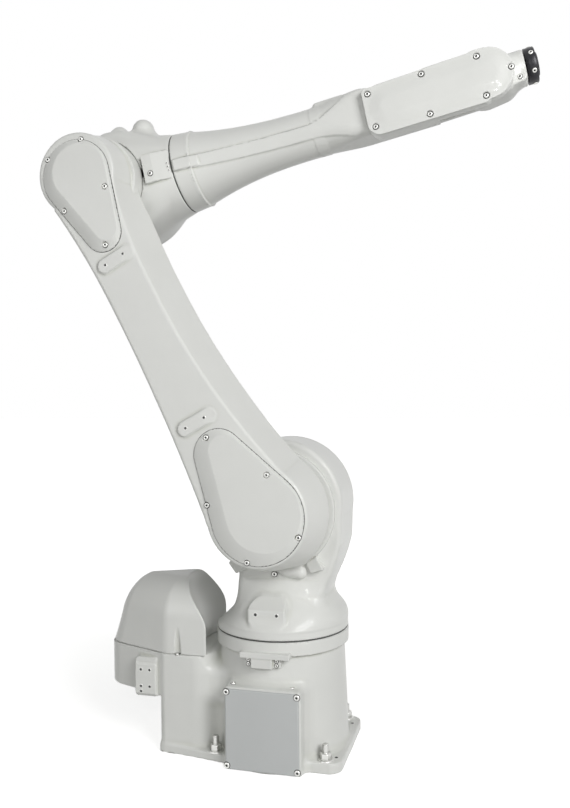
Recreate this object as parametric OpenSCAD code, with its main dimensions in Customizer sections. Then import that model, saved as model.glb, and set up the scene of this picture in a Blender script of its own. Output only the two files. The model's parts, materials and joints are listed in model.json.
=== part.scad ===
// Six-axis industrial robot arm on a bolted base, in the pose of the photograph.
// Millimetres. Origin on the turning axis at the floor, +X ahead of the arm, +Z up.

/* [Axes] */
// Height of the shoulder axis above the floor
shoulder_z = 465; // [440:1:500]
// Length of the lower arm, shoulder axis to elbow axis
arm_len = 715; // [690:1:760]
// Backward lean of the lower arm from the vertical, degrees
arm_lean = 28.4; // [10:0.1:40]
// Pitch of the forearm above the horizontal, degrees
forearm_pitch = 11.9; // [-10:0.1:30]
// Length of the forearm, elbow axis to wrist axis
wrist_s = 745; // [720:1:800]

/* [Clearances] */
// Visible seam between two turning castings
seam = 2; // [1:0.5:4]
// Running gap between the bearing faces inside a seam
run_gap = 0.3; // [0.2:0.05:0.6]

/* [Base] */
// Thickness of the foot plate
plate_t = 20; // [12:1:26]
// Distance between foundation bolts, both ways
bolt_pitch = 210; // [200:1:230]
// Radius of the foot plate's corners, about each foundation bolt
lug_r = 27; // [20:1:32]
// Diameter of the foundation bolt holes
bolt_hole_d = 14; // [11:0.5:18]
// Radius of the column at the floor
column_foot_r = 127; // [120:1:131]
// Radius of the column under the ring
column_top_r = 119; // [112:1:124]
// Radius of the ring under the turret
ring_r = 128; // [124:1:134]
// Height of the ring's lower edge
ring_z = 208; // [200:1:215]
// Height of the seam under the turret, at its middle
turn_z = 235; // [228:1:245]

/* [Rear pillar] */
// Rear face of the pillar, behind the turning axis
pillar_back = 220; // [210:1:235]
// Half width of the pillar
pillar_half = 96; // [85:1:102]
// Rounding of the pillar's rear corners
pillar_r = 38; // [20:1:50]
// Height of the shelf's underside
shelf_z = 103; // [90:1:115]
// Height of the seam under the motor cover
cover_z = 188; // [180:1:196]
// Rear end of the shelf and motor cover, behind the turning axis
cover_back = 360; // [340:1:380]
// Front face of the motor cover, behind the turning axis
cover_front = 147; // [140:1:155]
// Half width of the motor cover at its front
cover_front_half = 99; // [90:1:106]
// Half width of the motor cover at its rear
cover_back_half = 54; // [46:1:62]
// Height of the motor cover's top above the floor
cover_top = 325; // [315:1:335]
// How far the motor cover's sides lean in at its top
cover_side_round = 74; // [50:1:80]
// How far the motor cover's front leans in at its top
cover_front_round = 34; // [20:1:50]
// How far the motor cover's rear leans in at its top
cover_back_round = 112; // [80:1:130]
// Half width of the web between the shelf and the column
shelf_web_half = 76; // [60:1:84]

/* [Connector box] */
// Left side of the connector box
box_left = -75; // [-80:1:-66]
// Right side of the connector box
box_right = 69; // [60:1:74]
// Front of the connector box, in front of the turning axis
box_front = 138; // [134:1:146]
// Height of the connector box
box_top = 152; // [140:1:165]
// Thickness of the connector cover
box_cover_t = 4; // [2:0.5:8]
// Gap round the connector cover's edge
box_cover_inset = 3; // [1:0.5:8]
// Rounding of the connector cover's corners
box_cover_r = 5; // [2:0.5:10]

/* [Bracket pad] */
// Left edge of the bracket pad, behind the turning axis
bracket_back = 272; // [265:1:285]
// Width of the bracket pad
bracket_w = 43; // [40:1:50]
// Height of the bracket pad's lower edge
bracket_z = 103; // [98:1:110]
// Height of the bracket pad
bracket_h = 62; // [58:1:72]
// Face of the bracket pad, in front of the turning axis
bracket_face = 94; // [88:1:100]
// Distance between the bracket pad's holes, sideways
bracket_pitch_x = 18; // [14:1:26]
// Distance between the bracket pad's holes, upwards
bracket_pitch_z = 36; // [28:1:44]
// Distance of the fifth hole below the lower row
bracket_fifth = 10; // [8:1:14]

/* [Turning stop] */
// Width of the stop block on the ring
stop_w = 94; // [80:1:110]
// Height of the stop block
stop_h = 15; // [10:1:18]
// Thickness of the stop block
stop_t = 8; // [5:0.5:12]
// Width of the tab below the stop block
stop_tab_w = 40; // [30:1:60]
// Length of the tab below the stop block
stop_tab_h = 22; // [14:1:28]

/* [Turret] */
// Largest radius of the bell
bell_r = 127; // [122:1:132]
// Height of the bell's widest part
bell_wide_z = 258; // [252:1:266]
// Rounding of the bell's lower edge
bell_edge = 2; // [1:0.5:4]
// Half width of the neck along the arm
neck_half = 93; // [86:1:98]
// Half depth of the neck across the arm
neck_depth = 60; // [54:1:64]
// Height of the joint between the bell and the hub
neck_z = 322; // [316:1:328]
// Radius of the shoulder hub
hub_r = 130; // [124:1:136]
// Half width of the hub where it meets the neck's flare
hub_foot_half = 116; // [108:1:122]
// Height of the flare under the hub
hub_foot_z = 346; // [340:1:356]
// Near face of the hub, in front of the turning axis
hub_near = 58; // [54:1:60]
// Far face of the hub, behind the turning axis
hub_far = 70; // [64:1:78]
// Radius of the shoulder motor cover
motor_cover_r = 100; // [85:1:110]
// Depth of the shoulder motor cover
motor_cover_t = 20; // [12:1:28]
// Bevel round the two motor covers
motor_cover_edge = 8; // [3:0.5:9]
// Left end of the shoulder stops, ahead of the turning axis
shoulder_stop_x = 40; // [30:1:50]
// Length of the shoulder stops
shoulder_stop_w = 60; // [45:1:70]
// Height of the shoulder stops
shoulder_stop_h = 25; // [18:1:30]
// Height of the shoulder stops' lower edge above the neck
shoulder_stop_rise = 13; // [6:1:20]
// Thickness of the shoulder stops
shoulder_stop_t = 10; // [6:0.5:12]
// Face of the bell's pad, in front of the turning axis
bell_pad_face = 116; // [112:1:120]
// Width of the bell's pad
bell_pad_w = 74; // [60:1:84]
// Height of the bell's pad
bell_pad_h = 20; // [16:1:26]
// Height of the pad's middle above the floor
bell_pad_z = 280; // [272:1:284]

/* [Lower arm] */
// Front face of the lower arm, in front of the turning axis
arm_face = 165; // [158:1:172]
// Inner face of the arm between its ends, in front of the turning axis
arm_inner = 90; // [88:1:96]
// Inner face of the arm's round ends, in front of the turning axis
arm_seat = 72; // [70:0.5:76]
// Radius of the lower end, at the face
arm_low_r = 91; // [86:1:96]
// Radius of the upper end, at the face
arm_high_r = 78; // [72:1:82]
// Distance from the arm's line to the front edge at its waist
front_waist = 26.5; // [22:0.5:34]
// Distance of the front waist along the arm
front_waist_at = 408; // [360:1:440]
// Distance from the arm's line to the rear edge at its waist
rear_waist = 60; // [54:0.5:66]
// Distance of the rear waist along the arm
rear_waist_at = 491; // [440:1:520]
// How much wider the arm is at its inner face
arm_draft = 20; // [10:1:24]
// Chamfer round the face
arm_chamfer = 2; // [1:0.5:4]
// Thickness of the two arm covers at their rims
arm_cover_t = 3; // [2:0.5:7]
// Height of the two arm covers' domes
arm_cover_dome = 14; // [8:0.5:18]
// Width of the slope round the two domes
arm_cover_flank = 30; // [20:1:31]
// How much smaller the arm's seats at its two joints are than its inner face
seat_step = 8; // [4:0.5:12]
// Running space round the joints for what passes close by
joint_clear = 5; // [3:0.5:6]
// Large radius of the lower cover
low_cover_r = 86; // [80:1:88]
// Small radius of the lower cover
low_cover_tip_r = 47; // [40:1:54]
// Distance of the lower cover's tip along the arm
low_cover_tip_at = 130; // [110:1:145]
// Large radius of the upper cover
high_cover_r = 70; // [64:1:72]
// Small radius of the upper cover
high_cover_tip_r = 37; // [32:1:44]
// Distance of the upper cover's tip below the elbow axis
high_cover_tip_at = 120; // [105:1:135]
// Sideways shift of both cover tips
cover_tip_shift = 9; // [0:1:14]
// Distance between the two holes of a pad
pad_pitch = 40; // [30:1:50]
// Diameter of a pad's tapped holes
pad_hole_d = 5; // [4:0.1:8]
// Depth of a pad's tapped holes
pad_hole_depth = 12; // [8:1:16]
// Height of the pads above the face
pad_t = 4; // [2:0.5:7]
// Half width of a pad
pad_r = 13; // [10:0.5:16]
// Distance of the lower pad along the arm
low_pad_at = 201; // [190:1:230]
// Distance of the upper pad below the elbow axis
high_pad_at = 175.5; // [171:0.5:205]
// Shift of both pads' middles behind the arm's line
pad_shift = 17; // [12:1:22]

/* [Elbow] */
// Radius of the elbow drum
elbow_r = 106; // [100:1:114]
// Distance of the drum's middle ahead of the elbow axis
elbow_shift = 22; // [10:1:30]
// Near face of the drum, in front of the arm's plane
elbow_near = 60; // [54:1:62]
// Far face of the drum
elbow_far = 76; // [70:1:86]
// Radius of the elbow flange beside the arm
elbow_flange_r = 81; // [70:1:83]
// Distance of the roll seam ahead of the elbow axis
roll_s = 151; // [144:1:160]
// Radius of the housing at the roll seam
roll_r = 78; // [74:1:84]
// Half width of the elbow's neck on the near side
elbow_neck_half = 76; // [70:1:77]
// Radius of the housing's cone at the drum
elbow_cone_r = 102; // [96:1:108]
// Distance of the housing's cone ahead of the elbow axis
elbow_cone_s = 60; // [40:1:80]
// Distance of the rear boss ahead of the elbow axis
rear_boss_s = 33; // [26:1:40]
// Radius of the rear boss
rear_boss_r = 18; // [14:0.5:22]
// Height of the rear boss above the forearm's axis
rear_boss_top = 131; // [124:1:136]
// Distance of the front boss ahead of the elbow axis
front_boss_s = 87; // [80:1:94]
// Radius of the front boss
front_boss_r = 20; // [16:0.5:24]
// Height of the front boss above the forearm's axis
front_boss_top = 129; // [122:1:134]
// Distance of both bosses in front of the forearm's axis
boss_near = 12; // [0:1:18]
// Length of the side pad along the forearm
side_pad_len = 34; // [24:1:40]
// Height of the side pad
side_pad_h = 52; // [40:1:60]
// Lower edge of the side pad below the forearm's axis
side_pad_low = 22; // [16:1:30]
// Thickness of the side pad
side_pad_t = 8; // [4:0.5:10]
// Depth of the elbow motor cover
elbow_cover_t = 16; // [10:1:24]
// Radius of the elbow motor cover
elbow_cover_r = 90; // [80:1:98]

/* [Forearm] */
// Length of the collar behind the tube
collar_len = 28; // [20:1:36]
// How much the collar narrows towards the tube
collar_taper = 3.5; // [1:0.5:6]
// Radius of the tube at its thin end
tube_r = 46; // [42:0.5:50]
// Distance of the tube's thin end ahead of the elbow axis
tube_end_s = 425; // [400:1:440]
// Radius of the head in front of the tube
head_r = 48; // [45:0.5:52]
// Space between the head and the belt case's rear edge
head_step = 5; // [2:0.5:8]
// Distance of the fork's root ahead of the elbow axis
fork_root_s = 655; // [640:1:664]
// Half width of the gap in the fork
fork_gap = 38; // [37:0.5:42]
// Thickness of a fork arm
fork_t = 20; // [14:1:26]
// Thickness of a belt cover
belt_cover_t = 5; // [3:0.5:8]
// Rear edge of the belt case ahead of the elbow axis
belt_back_s = 528; // [515:1:545]
// Upper edge of the belt case above the forearm axis
belt_top = 30; // [24:1:36]
// Lower edge of the belt case below the forearm axis
belt_low = 60; // [56:1:66]
// Cut of the belt case's lower rear corner
belt_corner = 22; // [10:1:30]
// Middle of the belt case's round end ahead of the wrist axis
belt_nose = 3; // [0:0.5:6]
// Length of the far fork arm's root behind the fork's root
far_root_len = 60; // [40:1:80]
// Radius of the far fork arm at its root
far_root_r = 36; // [32:0.5:42]
// Radius of the far fork arm about the wrist axis
far_tip_r = 33; // [30:0.5:38]
// Margin of the far belt cover inside its fork arm
far_cover_margin = 3; // [2:0.5:6]

/* [Wrist] */
// Radius of the wrist body about the wrist axis
wrist_r = 42; // [39:0.5:46]
// Gap between the wrist body and a fork arm, at its rim
wrist_gap = 1.5; // [1:0.1:3]
// Radius of the wrist's neck
wrist_neck_r = 32; // [28:0.5:34]
// Distance of the tool seam ahead of the wrist axis
tool_seam_s = 74; // [68:1:80]
// Radius of the tool flange
flange_r = 31.5; // [30:0.5:34]
// Thickness of the tool flange
flange_t = 18; // [14:0.5:24]
// Radius of the boss on the tool flange
flange_boss_r = 20.5; // [18:0.5:22]
// Height of the boss on the tool flange
flange_boss_t = 3; // [2:0.5:6]
// Diameter of the pilot bore in the boss
pilot_d = 31.5; // [25:0.5:34]
// Depth of the pilot bore
pilot_depth = 8; // [5:0.5:12]
// Diameter of the circle of tool bolts
tool_pcd = 50; // [46:0.5:53]
// Diameter of the tapped holes for the tool
tool_hole_d = 5; // [4:0.1:6]
// Depth of the tapped holes for the tool
tool_hole_depth = 10; // [6:0.5:13]

/* [Hidden] */
$fn = 64;
white = "#e9ebe4";
panel_grey = "#c9cbca";
black = "#1b1b22";
eps = 0.01;
// How far a cut runs past the face it starts from
over = 1;

// Elbow axis in the frame of the base
elbow_x = -arm_len * sin(arm_lean);
elbow_z = shoulder_z + arm_len * cos(arm_lean);

// Bearing face and seam of the turret
bell_z = turn_z + seam / 2;
ring_top_z = turn_z - seam / 2;
bearing_r = 92;

// Inner faces at the shoulder and the elbow
shoulder_face = arm_seat - seam;
arm_bearing_r = 66;
low_seat_r = arm_low_r + arm_draft - seat_step;
high_seat_r = arm_high_r + arm_draft - seat_step;

// Roll seam of the forearm
collar_s = roll_s + seam / 2;
tube_s = collar_s + collar_len;
roll_bearing_r = 62;
tube_power = 2.4;
fork_out = fork_gap + fork_t;
wrist_half = fork_gap - wrist_gap;
wrist_pin_r = 24;
tool_s = wrist_s + tool_seam_s;
flange_s = tool_s + seam / 2;
flange_face_s = flange_s + flange_t;

// Frames and shared shapes

// Frame of the lower arm: x to its front edge, z from the shoulder axis to the elbow axis
module arm_frame() {
    translate([0, 0, shoulder_z]) rotate([0, -arm_lean, 0]) children();
}

// Frame of the forearm: x from the elbow axis to the wrist, z up from its axis
module forearm_frame() {
    translate([elbow_x, 0, elbow_z]) rotate([0, -forearm_pitch, 0]) children();
}

// An outline in x and z made into a slab from y = near to y = far
module slab(near, far) {
    translate([0, far, 0]) rotate([90, 0, 0]) linear_extrude(far - near) children();
}

// A disc or drum about the y direction through [x, z]
module drum(x, z, r, near, far) {
    slab(near, far) translate([x, z]) circle(r);
}

// Turns a solid that rises along z so that it runs along the forearm from s
module along(s) {
    translate([s, 0, 0]) rotate([0, 90, 0]) children();
}

// Outline of a belt round two circles, as short chords
belt_steps = 20;
function arc_points(c, r, from, to) = [
    for (i = [0 : belt_steps])
        let (a = from + (to - from) * i / belt_steps)
        c + r * [cos(a), sin(a)]
];
module belt(p, rp, q, rq) {
    d = q - p;
    heading = atan2(d.y, d.x);
    side = acos((rp - rq) / norm(d));
    polygon(concat(
        arc_points(q, rq, heading - side, heading + side),
        arc_points(p, rp, heading + side, heading + 360 - side)
    ));
}

// The same outline as a ring of points at depth y, from the middle of the first circle's end
function belt_ring(y, p, rp, q, rq) =
    let (
        d = q - p,
        heading = atan2(d.y, d.x),
        side = acos((rp - rq) / norm(d)),
        first = step_middles(p, rp, heading + 180, heading + 360 - side, belt_steps / 2),
        tip = step_middles(q, rq, heading - side, heading + side, belt_steps),
        last = step_middles(p, rp, heading + side, heading + 180, belt_steps / 2)
    )
    [for (v = concat(first, tip, last)) [v.x, y, v.y]];
function step_middles(c, r, from, to, steps) = [
    for (i = [0 : steps - 1])
        let (a = from + (to - from) * (i + 0.5) / steps)
        c + r * [cos(a), sin(a)]
];

// Rectangle from corner a to corner b with round corners
module round_rect(a, b, r) {
    translate([a.x + r, a.y]) square([b.x - a.x - 2 * r, b.y - a.y]);
    translate([a.x, a.y + r]) square([b.x - a.x, b.y - a.y - 2 * r]);
    for (x = [a.x + r, b.x - r], y = [a.y + r, b.y - r]) translate([x, y]) circle(r);
}

// Closed solid through rings of points, all with as many points. In each ring the points
// j and n - 1 - j lie opposite each other, so that its ends close with rungs between them.
module loft(rings) {
    n = len(rings[0]);
    last = len(rings) - 1;
    points = [for (ring = rings) each ring];
    sides = [
        for (i = [0 : last - 1], j = [0 : n - 1])
            each [
                [i * n + j, (i + 1) * n + j, i * n + (j + 1) % n],
                [i * n + (j + 1) % n, (i + 1) * n + j, (i + 1) * n + (j + 1) % n]
            ]
    ];
    start = [
        for (j = [0 : n / 2 - 2])
            each [[j, j + 1, n - 2 - j], [j, n - 2 - j, n - 1 - j]]
    ];
    end = [for (f = start) [for (k = [2 : -1 : 0]) last * n + f[k]]];
    polyhedron(points, concat(start, sides, end));
}

// Base

// Shape of the shelf and of the motor cover on it, drawn in by inset at a height
cover_points = 44;
function signed_power(v, p) = sign(v) * pow(abs(v), p);
function cover_ring(z, side_in, front_in, back_in) =
    let (
        front = -cover_front - front_in,
        back = -cover_back + back_in,
        mid = (front + back) / 2,
        half = (front - back) / 2,
        squareness = 2 / 3.4
    )
    [
        for (i = [0 : cover_points - 1])
            let (
                t = 360 * i / cover_points,
                x = mid + half * signed_power(cos(t), squareness),
                share = (front - x) / (front - back),
                w = cover_front_half + (cover_back_half - cover_front_half) * share - side_in
            )
            [x, w * signed_power(sin(t), squareness), z]
    ];

// Holes of the bracket pad in x and z: four in a rectangle and one below them
bracket_mid = [-bracket_back + bracket_w / 2, bracket_z + bracket_h / 2 + bracket_fifth / 2];
bracket_holes = concat(
    [
        for (x = [-1, 1], z = [-1, 1])
            bracket_mid + [x * bracket_pitch_x, z * bracket_pitch_z] / 2
    ],
    [bracket_mid - [bracket_pitch_x, bracket_pitch_z] / 2 - [0, bracket_fifth]]
);

module base_outline() {
    h = bolt_pitch / 2 + lug_r;
    round_rect([-h, -h], [h, h], lug_r);
    pillar_outline();
}

module pillar_outline() {
    round_rect([-pillar_back, -pillar_half], [0, pillar_half], pillar_r);
}

module shelf_outline() {
    polygon([for (p = cover_ring(0, 0, 0, 0)) [p.x, p.y]]);
    web = (cover_front + cover_back) / 2;
    translate([-web, -shelf_web_half]) square([web, 2 * shelf_web_half]);
}

module base_casting() {
    color(white)
        difference() {
            union() {
                linear_extrude(plate_t) base_outline();
                linear_extrude(shelf_z + eps) pillar_outline();
                translate([0, 0, shelf_z]) linear_extrude(cover_z - shelf_z) shelf_outline();
                cylinder(r1 = column_foot_r, r2 = column_top_r, h = ring_z + eps);
                translate([0, 0, ring_z]) cylinder(r = ring_r, h = ring_top_z - ring_z);
                cylinder(r = bearing_r, h = bell_z - run_gap);
                translate([box_left, -box_front, 0]) cube([box_right - box_left, box_front, box_top]);
                translate([-bracket_back, -bracket_face, bracket_z])
                    cube([bracket_w, bracket_face, bracket_h]);
            }
            for (x = [-1, 1], y = [-1, 1])
                translate([x * bolt_pitch / 2, y * bolt_pitch / 2, -over])
                    cylinder(d = bolt_hole_d, h = cover_z);
            for (hole = bracket_holes)
                drum(hole.x, hole.y, pad_hole_d / 2, -bracket_face - over, pad_hole_depth - bracket_face);
        }
}

module rear_cover() {
    height = cover_top - cover_z;
    steps = 10;
    color(white)
        loft([
            for (i = [0 : steps])
                let (a = 90 * i / steps, inset = 1 - cos(a))
                cover_ring(cover_z + height * sin(a), cover_side_round * inset,
                    cover_front_round * inset, cover_back_round * inset)
        ]);
}

module connector_cover() {
    color(panel_grey)
        slab(-box_front - box_cover_t, -box_front)
            round_rect([box_left + box_cover_inset, box_cover_inset],
                [box_right - box_cover_inset, box_top - box_cover_inset], box_cover_r);
}

// A block curved to the ring, with a tab below it
module turning_stop() {
    top = ring_z + stop_h;
    tab_z = ring_z - stop_tab_h;
    color(white)
        difference() {
            intersection() {
                translate([0, 0, tab_z]) cylinder(r = ring_r + stop_t, h = top - tab_z);
                slab(-2 * ring_r, 0) {
                    translate([-stop_w / 2, ring_z]) square([stop_w, stop_h]);
                    translate([-stop_tab_w / 2, tab_z]) square([stop_tab_w, stop_tab_h + eps]);
                }
            }
            cylinder(r = ring_r, h = top + over);
        }
}

// Turret

bell_points = 56;
function bell_ring(z, along_half, across_half) = [
    for (i = [0 : bell_points - 1])
        let (t = 360 * i / bell_points)
        [along_half * cos(t), across_half * sin(t), z]
];

// Share of the way from the bell's widest part to the neck, as an S
function bell_share(k) = (1 - cos(180 * k)) / 2;

module turret_bell() {
    steps = 10;
    color(white)
        difference() {
            union() {
                loft(concat(
                    [
                        bell_ring(bell_z, bell_r - bell_edge, bell_r - bell_edge),
                        bell_ring(bell_z + 2 * bell_edge, bell_r, bell_r)
                    ],
                    [
                        for (i = [0 : steps])
                            let (k = i / steps, w = bell_share(k))
                            bell_ring(bell_wide_z + (neck_z - bell_wide_z) * k,
                                bell_r + (neck_half - bell_r) * w, bell_r + (neck_depth - bell_r) * w)
                    ]
                ));
                slab(-bell_pad_face, 0)
                    translate([0, bell_pad_z]) square([bell_pad_w, bell_pad_h], center = true);
            }
            for (side = [-1, 1])
                drum(side * pad_pitch / 2, bell_pad_z, pad_hole_d / 2,
                    -bell_pad_face - over, pad_hole_depth - bell_pad_face);
        }
}

// The hub's disc with its flared foot, cut level where it stands on the neck
module hub_outline() {
    difference() {
        union() {
            translate([0, shoulder_z]) circle(hub_r);
            polygon([
                [-neck_half, neck_z], [neck_half, neck_z], [hub_foot_half, hub_foot_z],
                [hub_r, shoulder_z], [-hub_r, shoulder_z], [-hub_foot_half, hub_foot_z]
            ]);
        }
        translate([-2 * hub_r, neck_z - 2 * hub_r]) square([4 * hub_r, 2 * hub_r]);
    }
}

module shoulder_hub() {
    color(white) slab(-hub_near, hub_far) hub_outline();
}

module shoulder_flange() {
    color(white) drum(0, shoulder_z, arm_low_r + arm_draft, -shoulder_face, -hub_near);
}

module shoulder_motor_cover() {
    color(white)
        translate([0, hub_far, shoulder_z]) rotate([-90, 0, 0])
            rotate_extrude() polygon([
                [0, 0], [motor_cover_r, 0], [motor_cover_r, motor_cover_t - motor_cover_edge],
                [motor_cover_r - motor_cover_edge, motor_cover_t], [0, motor_cover_t]
            ]);
}

// Peak of the shoulder stops and the step before it, as shares of their length and height
stop_peak = [0.8, 1];
stop_step = [0.33, 0.7];

// Wedge on the hub that the arm's travel ends at
module shoulder_stops() {
    color(white)
        slab(-hub_near - shoulder_stop_t, -hub_near)
            translate([shoulder_stop_x, neck_z + shoulder_stop_rise])
                polygon([
                    [0, 0], [shoulder_stop_w, 0],
                    [shoulder_stop_w * stop_peak.x, shoulder_stop_h * stop_peak.y],
                    [shoulder_stop_w * stop_step.x, shoulder_stop_h * stop_step.y]
                ]);
}

// Lower arm

// How sharply the front and rear edges flare towards the lower and the upper end
front_power = [1.7, 2];
rear_power = [1.3, 1.6];

// Half width of the arm at distance u, from its waist out to an end, as a power of the share of the way
function flare(waist, end, share, power) = waist + (end - waist) * pow(share, power);

function front_edge(u) =
    u < front_waist_at
        ? flare(front_waist, arm_low_r, 1 - u / front_waist_at, front_power[0])
        : flare(front_waist, arm_high_r, (u - front_waist_at) / (arm_len - front_waist_at), front_power[1]);

function rear_edge(u) =
    u < rear_waist_at
        ? flare(rear_waist, arm_low_r, 1 - u / rear_waist_at, rear_power[0])
        : flare(rear_waist, arm_high_r, (u - rear_waist_at) / (arm_len - rear_waist_at), rear_power[1]);

// Outline of the lower arm at one depth, grown by a margin, from the middle of its lower end
edge_steps = 14;
end_steps = 12;
function arm_end(y, u, r, from, to) = [
    for (i = [from : to])
        let (a = 180 * (i + 0.5) / end_steps)
        [r * cos(a), y, u + r * sin(a)]
];
function arm_ring(y, grow) = concat(
    arm_end(y, 0, arm_low_r + grow, -end_steps / 2, -1),
    [for (i = [0 : edge_steps]) let (u = arm_len * i / edge_steps) [front_edge(u) + grow, y, u]],
    arm_end(y, arm_len, arm_high_r + grow, 0, end_steps - 1),
    [for (i = [0 : edge_steps]) let (u = arm_len * (1 - i / edge_steps)) [-rear_edge(u) - grow, y, u]],
    arm_end(y, 0, arm_low_r + grow, end_steps, 3 * end_steps / 2 - 1)
);

module arm_casting() {
    inside = 10;
    color(white)
        arm_frame() {
            loft([
                arm_ring(-arm_inner, arm_draft),
                arm_ring(-arm_face + arm_chamfer, 0),
                arm_ring(-arm_face, -arm_chamfer)
            ]);
            drum(0, 0, low_seat_r, -arm_inner - inside, -arm_seat);
            drum(0, 0, arm_bearing_r, -arm_inner - inside, -shoulder_face - run_gap);
            drum(0, arm_len, high_seat_r, -arm_inner - inside, -arm_seat);
            drum(0, arm_len, arm_bearing_r, -arm_inner - inside, -shoulder_face - run_gap);
        }
}

// Domed cover on the arm's face, its outline a belt round two circles
module arm_cover(p, rp, q, rq) {
    steps = 6;
    rise = arm_cover_dome - arm_cover_t;
    color(white)
        arm_frame() loft(concat(
            [belt_ring(-arm_face, p, rp, q, rq)],
            [
                for (i = [0 : steps])
                    let (a = 90 * i / steps, in = arm_cover_flank * (1 - cos(a)))
                    belt_ring(-arm_face - arm_cover_t - rise * sin(a), p, rp - in, q, rq - in)
            ]
        ));
}

module arm_lower_cover() {
    arm_cover([0, 0], low_cover_r, [-cover_tip_shift, low_cover_tip_at], low_cover_tip_r);
}

module arm_upper_cover() {
    arm_cover([0, arm_len], high_cover_r,
        [-cover_tip_shift, arm_len - high_cover_tip_at], high_cover_tip_r);
}

// Raised oval with two tapped holes, its middle at distance at along the arm
module arm_pad(at) {
    left = -pad_shift - pad_pitch / 2;
    right = -pad_shift + pad_pitch / 2;
    color(white)
        arm_frame() difference() {
            slab(-arm_face - pad_t, -arm_face) belt([left, at], pad_r, [right, at], pad_r);
            for (x = [left, right]) drum(x, at, pad_hole_d / 2, -arm_face - pad_t - over, -arm_face + over);
        }
}

module arm_lower_pad() {
    arm_pad(low_pad_at);
}

module arm_upper_pad() {
    arm_pad(arm_len - high_pad_at);
}

// Elbow

module elbow_boss(s, r, top) {
    translate([s, -boss_near, 0]) {
        cylinder(r = r, h = top - r);
        translate([0, 0, top - r]) sphere(r = r);
    }
}

// Drum and cone, with the near side of the cone cut round to clear the arm's seat
module elbow_housing() {
    cone_len = roll_s - seam / 2 - elbow_cone_s;
    color(white)
        forearm_frame() {
            drum(elbow_shift, 0, elbow_r, -elbow_near, elbow_far);
            drum(0, 0, elbow_flange_r, -shoulder_face, -elbow_near + eps);
            difference() {
                intersection() {
                    along(elbow_cone_s) cylinder(r1 = elbow_cone_r, r2 = roll_r, h = cone_len);
                    translate([0, -elbow_neck_half, -2 * elbow_r])
                        cube([roll_s, elbow_neck_half + elbow_far, 4 * elbow_r]);
                }
                drum(0, 0, high_seat_r + joint_clear, -elbow_neck_half - over, -elbow_near);
            }
            along(elbow_cone_s) cylinder(r = roll_bearing_r, h = collar_s - run_gap - elbow_cone_s);
            elbow_boss(rear_boss_s, rear_boss_r, rear_boss_top);
            elbow_boss(front_boss_s, front_boss_r, front_boss_top);
        }
}

module elbow_motor_cover() {
    color(white)
        forearm_frame() translate([elbow_shift, elbow_far, 0]) rotate([-90, 0, 0])
            rotate_extrude() polygon([
                [0, 0], [elbow_cover_r, 0], [elbow_cover_r, elbow_cover_t - motor_cover_edge],
                [elbow_cover_r - motor_cover_edge, elbow_cover_t], [0, elbow_cover_t]
            ]);
}

module elbow_side_pad() {
    color(white)
        forearm_frame()
            translate([high_seat_r + joint_clear, -elbow_neck_half - side_pad_t, -side_pad_low])
                cube([side_pad_len, side_pad_t, side_pad_h]);
}

// Forearm

// Radius of the tube at distance s, falling to its thin end
function tube_radius(s) =
    tube_r + (roll_r - collar_taper - tube_r) * pow(1 - (s - tube_s) / (tube_end_s - tube_s), tube_power);

module forearm_collar() {
    color(white)
        forearm_frame() along(collar_s)
            cylinder(r1 = roll_r, r2 = roll_r - collar_taper, h = collar_len);
}

module forearm_tube() {
    steps = 12;
    color(white)
        forearm_frame() along(0) rotate_extrude() polygon(concat(
            [[0, tube_s]],
            [
                for (i = [0 : steps])
                    let (s = tube_s + (tube_end_s - tube_s) * i / steps)
                    [tube_radius(s), s]
            ],
            [[0, tube_end_s]]
        ));
}

module forearm_head() {
    color(white)
        forearm_frame() {
            along(tube_end_s) cylinder(r1 = tube_r, r2 = head_r, h = belt_back_s - tube_end_s - head_step);
            intersection() {
                along(tube_end_s) cylinder(r = head_r, h = fork_root_s - tube_end_s);
                translate([belt_back_s - 2 * head_step, -fork_gap, -2 * head_r])
                    cube([fork_root_s, 2 * fork_gap, 4 * head_r]);
            }
        }
}

// Outline of the belt case, square at the rear and round at the wrist
module belt_case_outline() {
    end_r = (belt_top + belt_low) / 2;
    end_n = (belt_top - belt_low) / 2;
    end_s = wrist_s + belt_nose;
    translate([end_s, end_n]) circle(end_r);
    polygon([
        [belt_back_s, belt_top], [belt_back_s, belt_corner - belt_low],
        [belt_back_s + belt_corner, -belt_low], [end_s, -belt_low], [end_s, belt_top]
    ]);
}

module fork_arm_near() {
    color(white) forearm_frame() slab(-fork_out, -fork_gap) belt_case_outline();
}

module belt_cover_near() {
    color(white) forearm_frame() slab(-fork_out - belt_cover_t, -fork_out) belt_case_outline();
}

// Outline of the far fork arm, drawn in by a margin
module far_fork_outline(margin) {
    belt([fork_root_s - far_root_len, 0], far_root_r - margin, [wrist_s, 0], far_tip_r - margin);
}

module fork_arm_far() {
    color(white) forearm_frame() slab(fork_gap, fork_out) far_fork_outline(0);
}

module belt_cover_far() {
    color(white) forearm_frame() slab(fork_out, fork_out + belt_cover_t) far_fork_outline(far_cover_margin);
}

// Wrist and tool flange

module wrist_body() {
    color(white)
        forearm_frame() {
            drum(wrist_s, 0, wrist_r, -wrist_half, wrist_half);
            drum(wrist_s, 0, wrist_pin_r, -fork_gap + run_gap, fork_gap - run_gap);
        }
}

module wrist_neck() {
    color(white)
        forearm_frame() difference() {
            along(wrist_s) cylinder(r = wrist_neck_r, h = tool_seam_s - seam / 2);
            drum(wrist_s, 0, wrist_r, -2 * wrist_half, 2 * wrist_half);
        }
}

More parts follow.
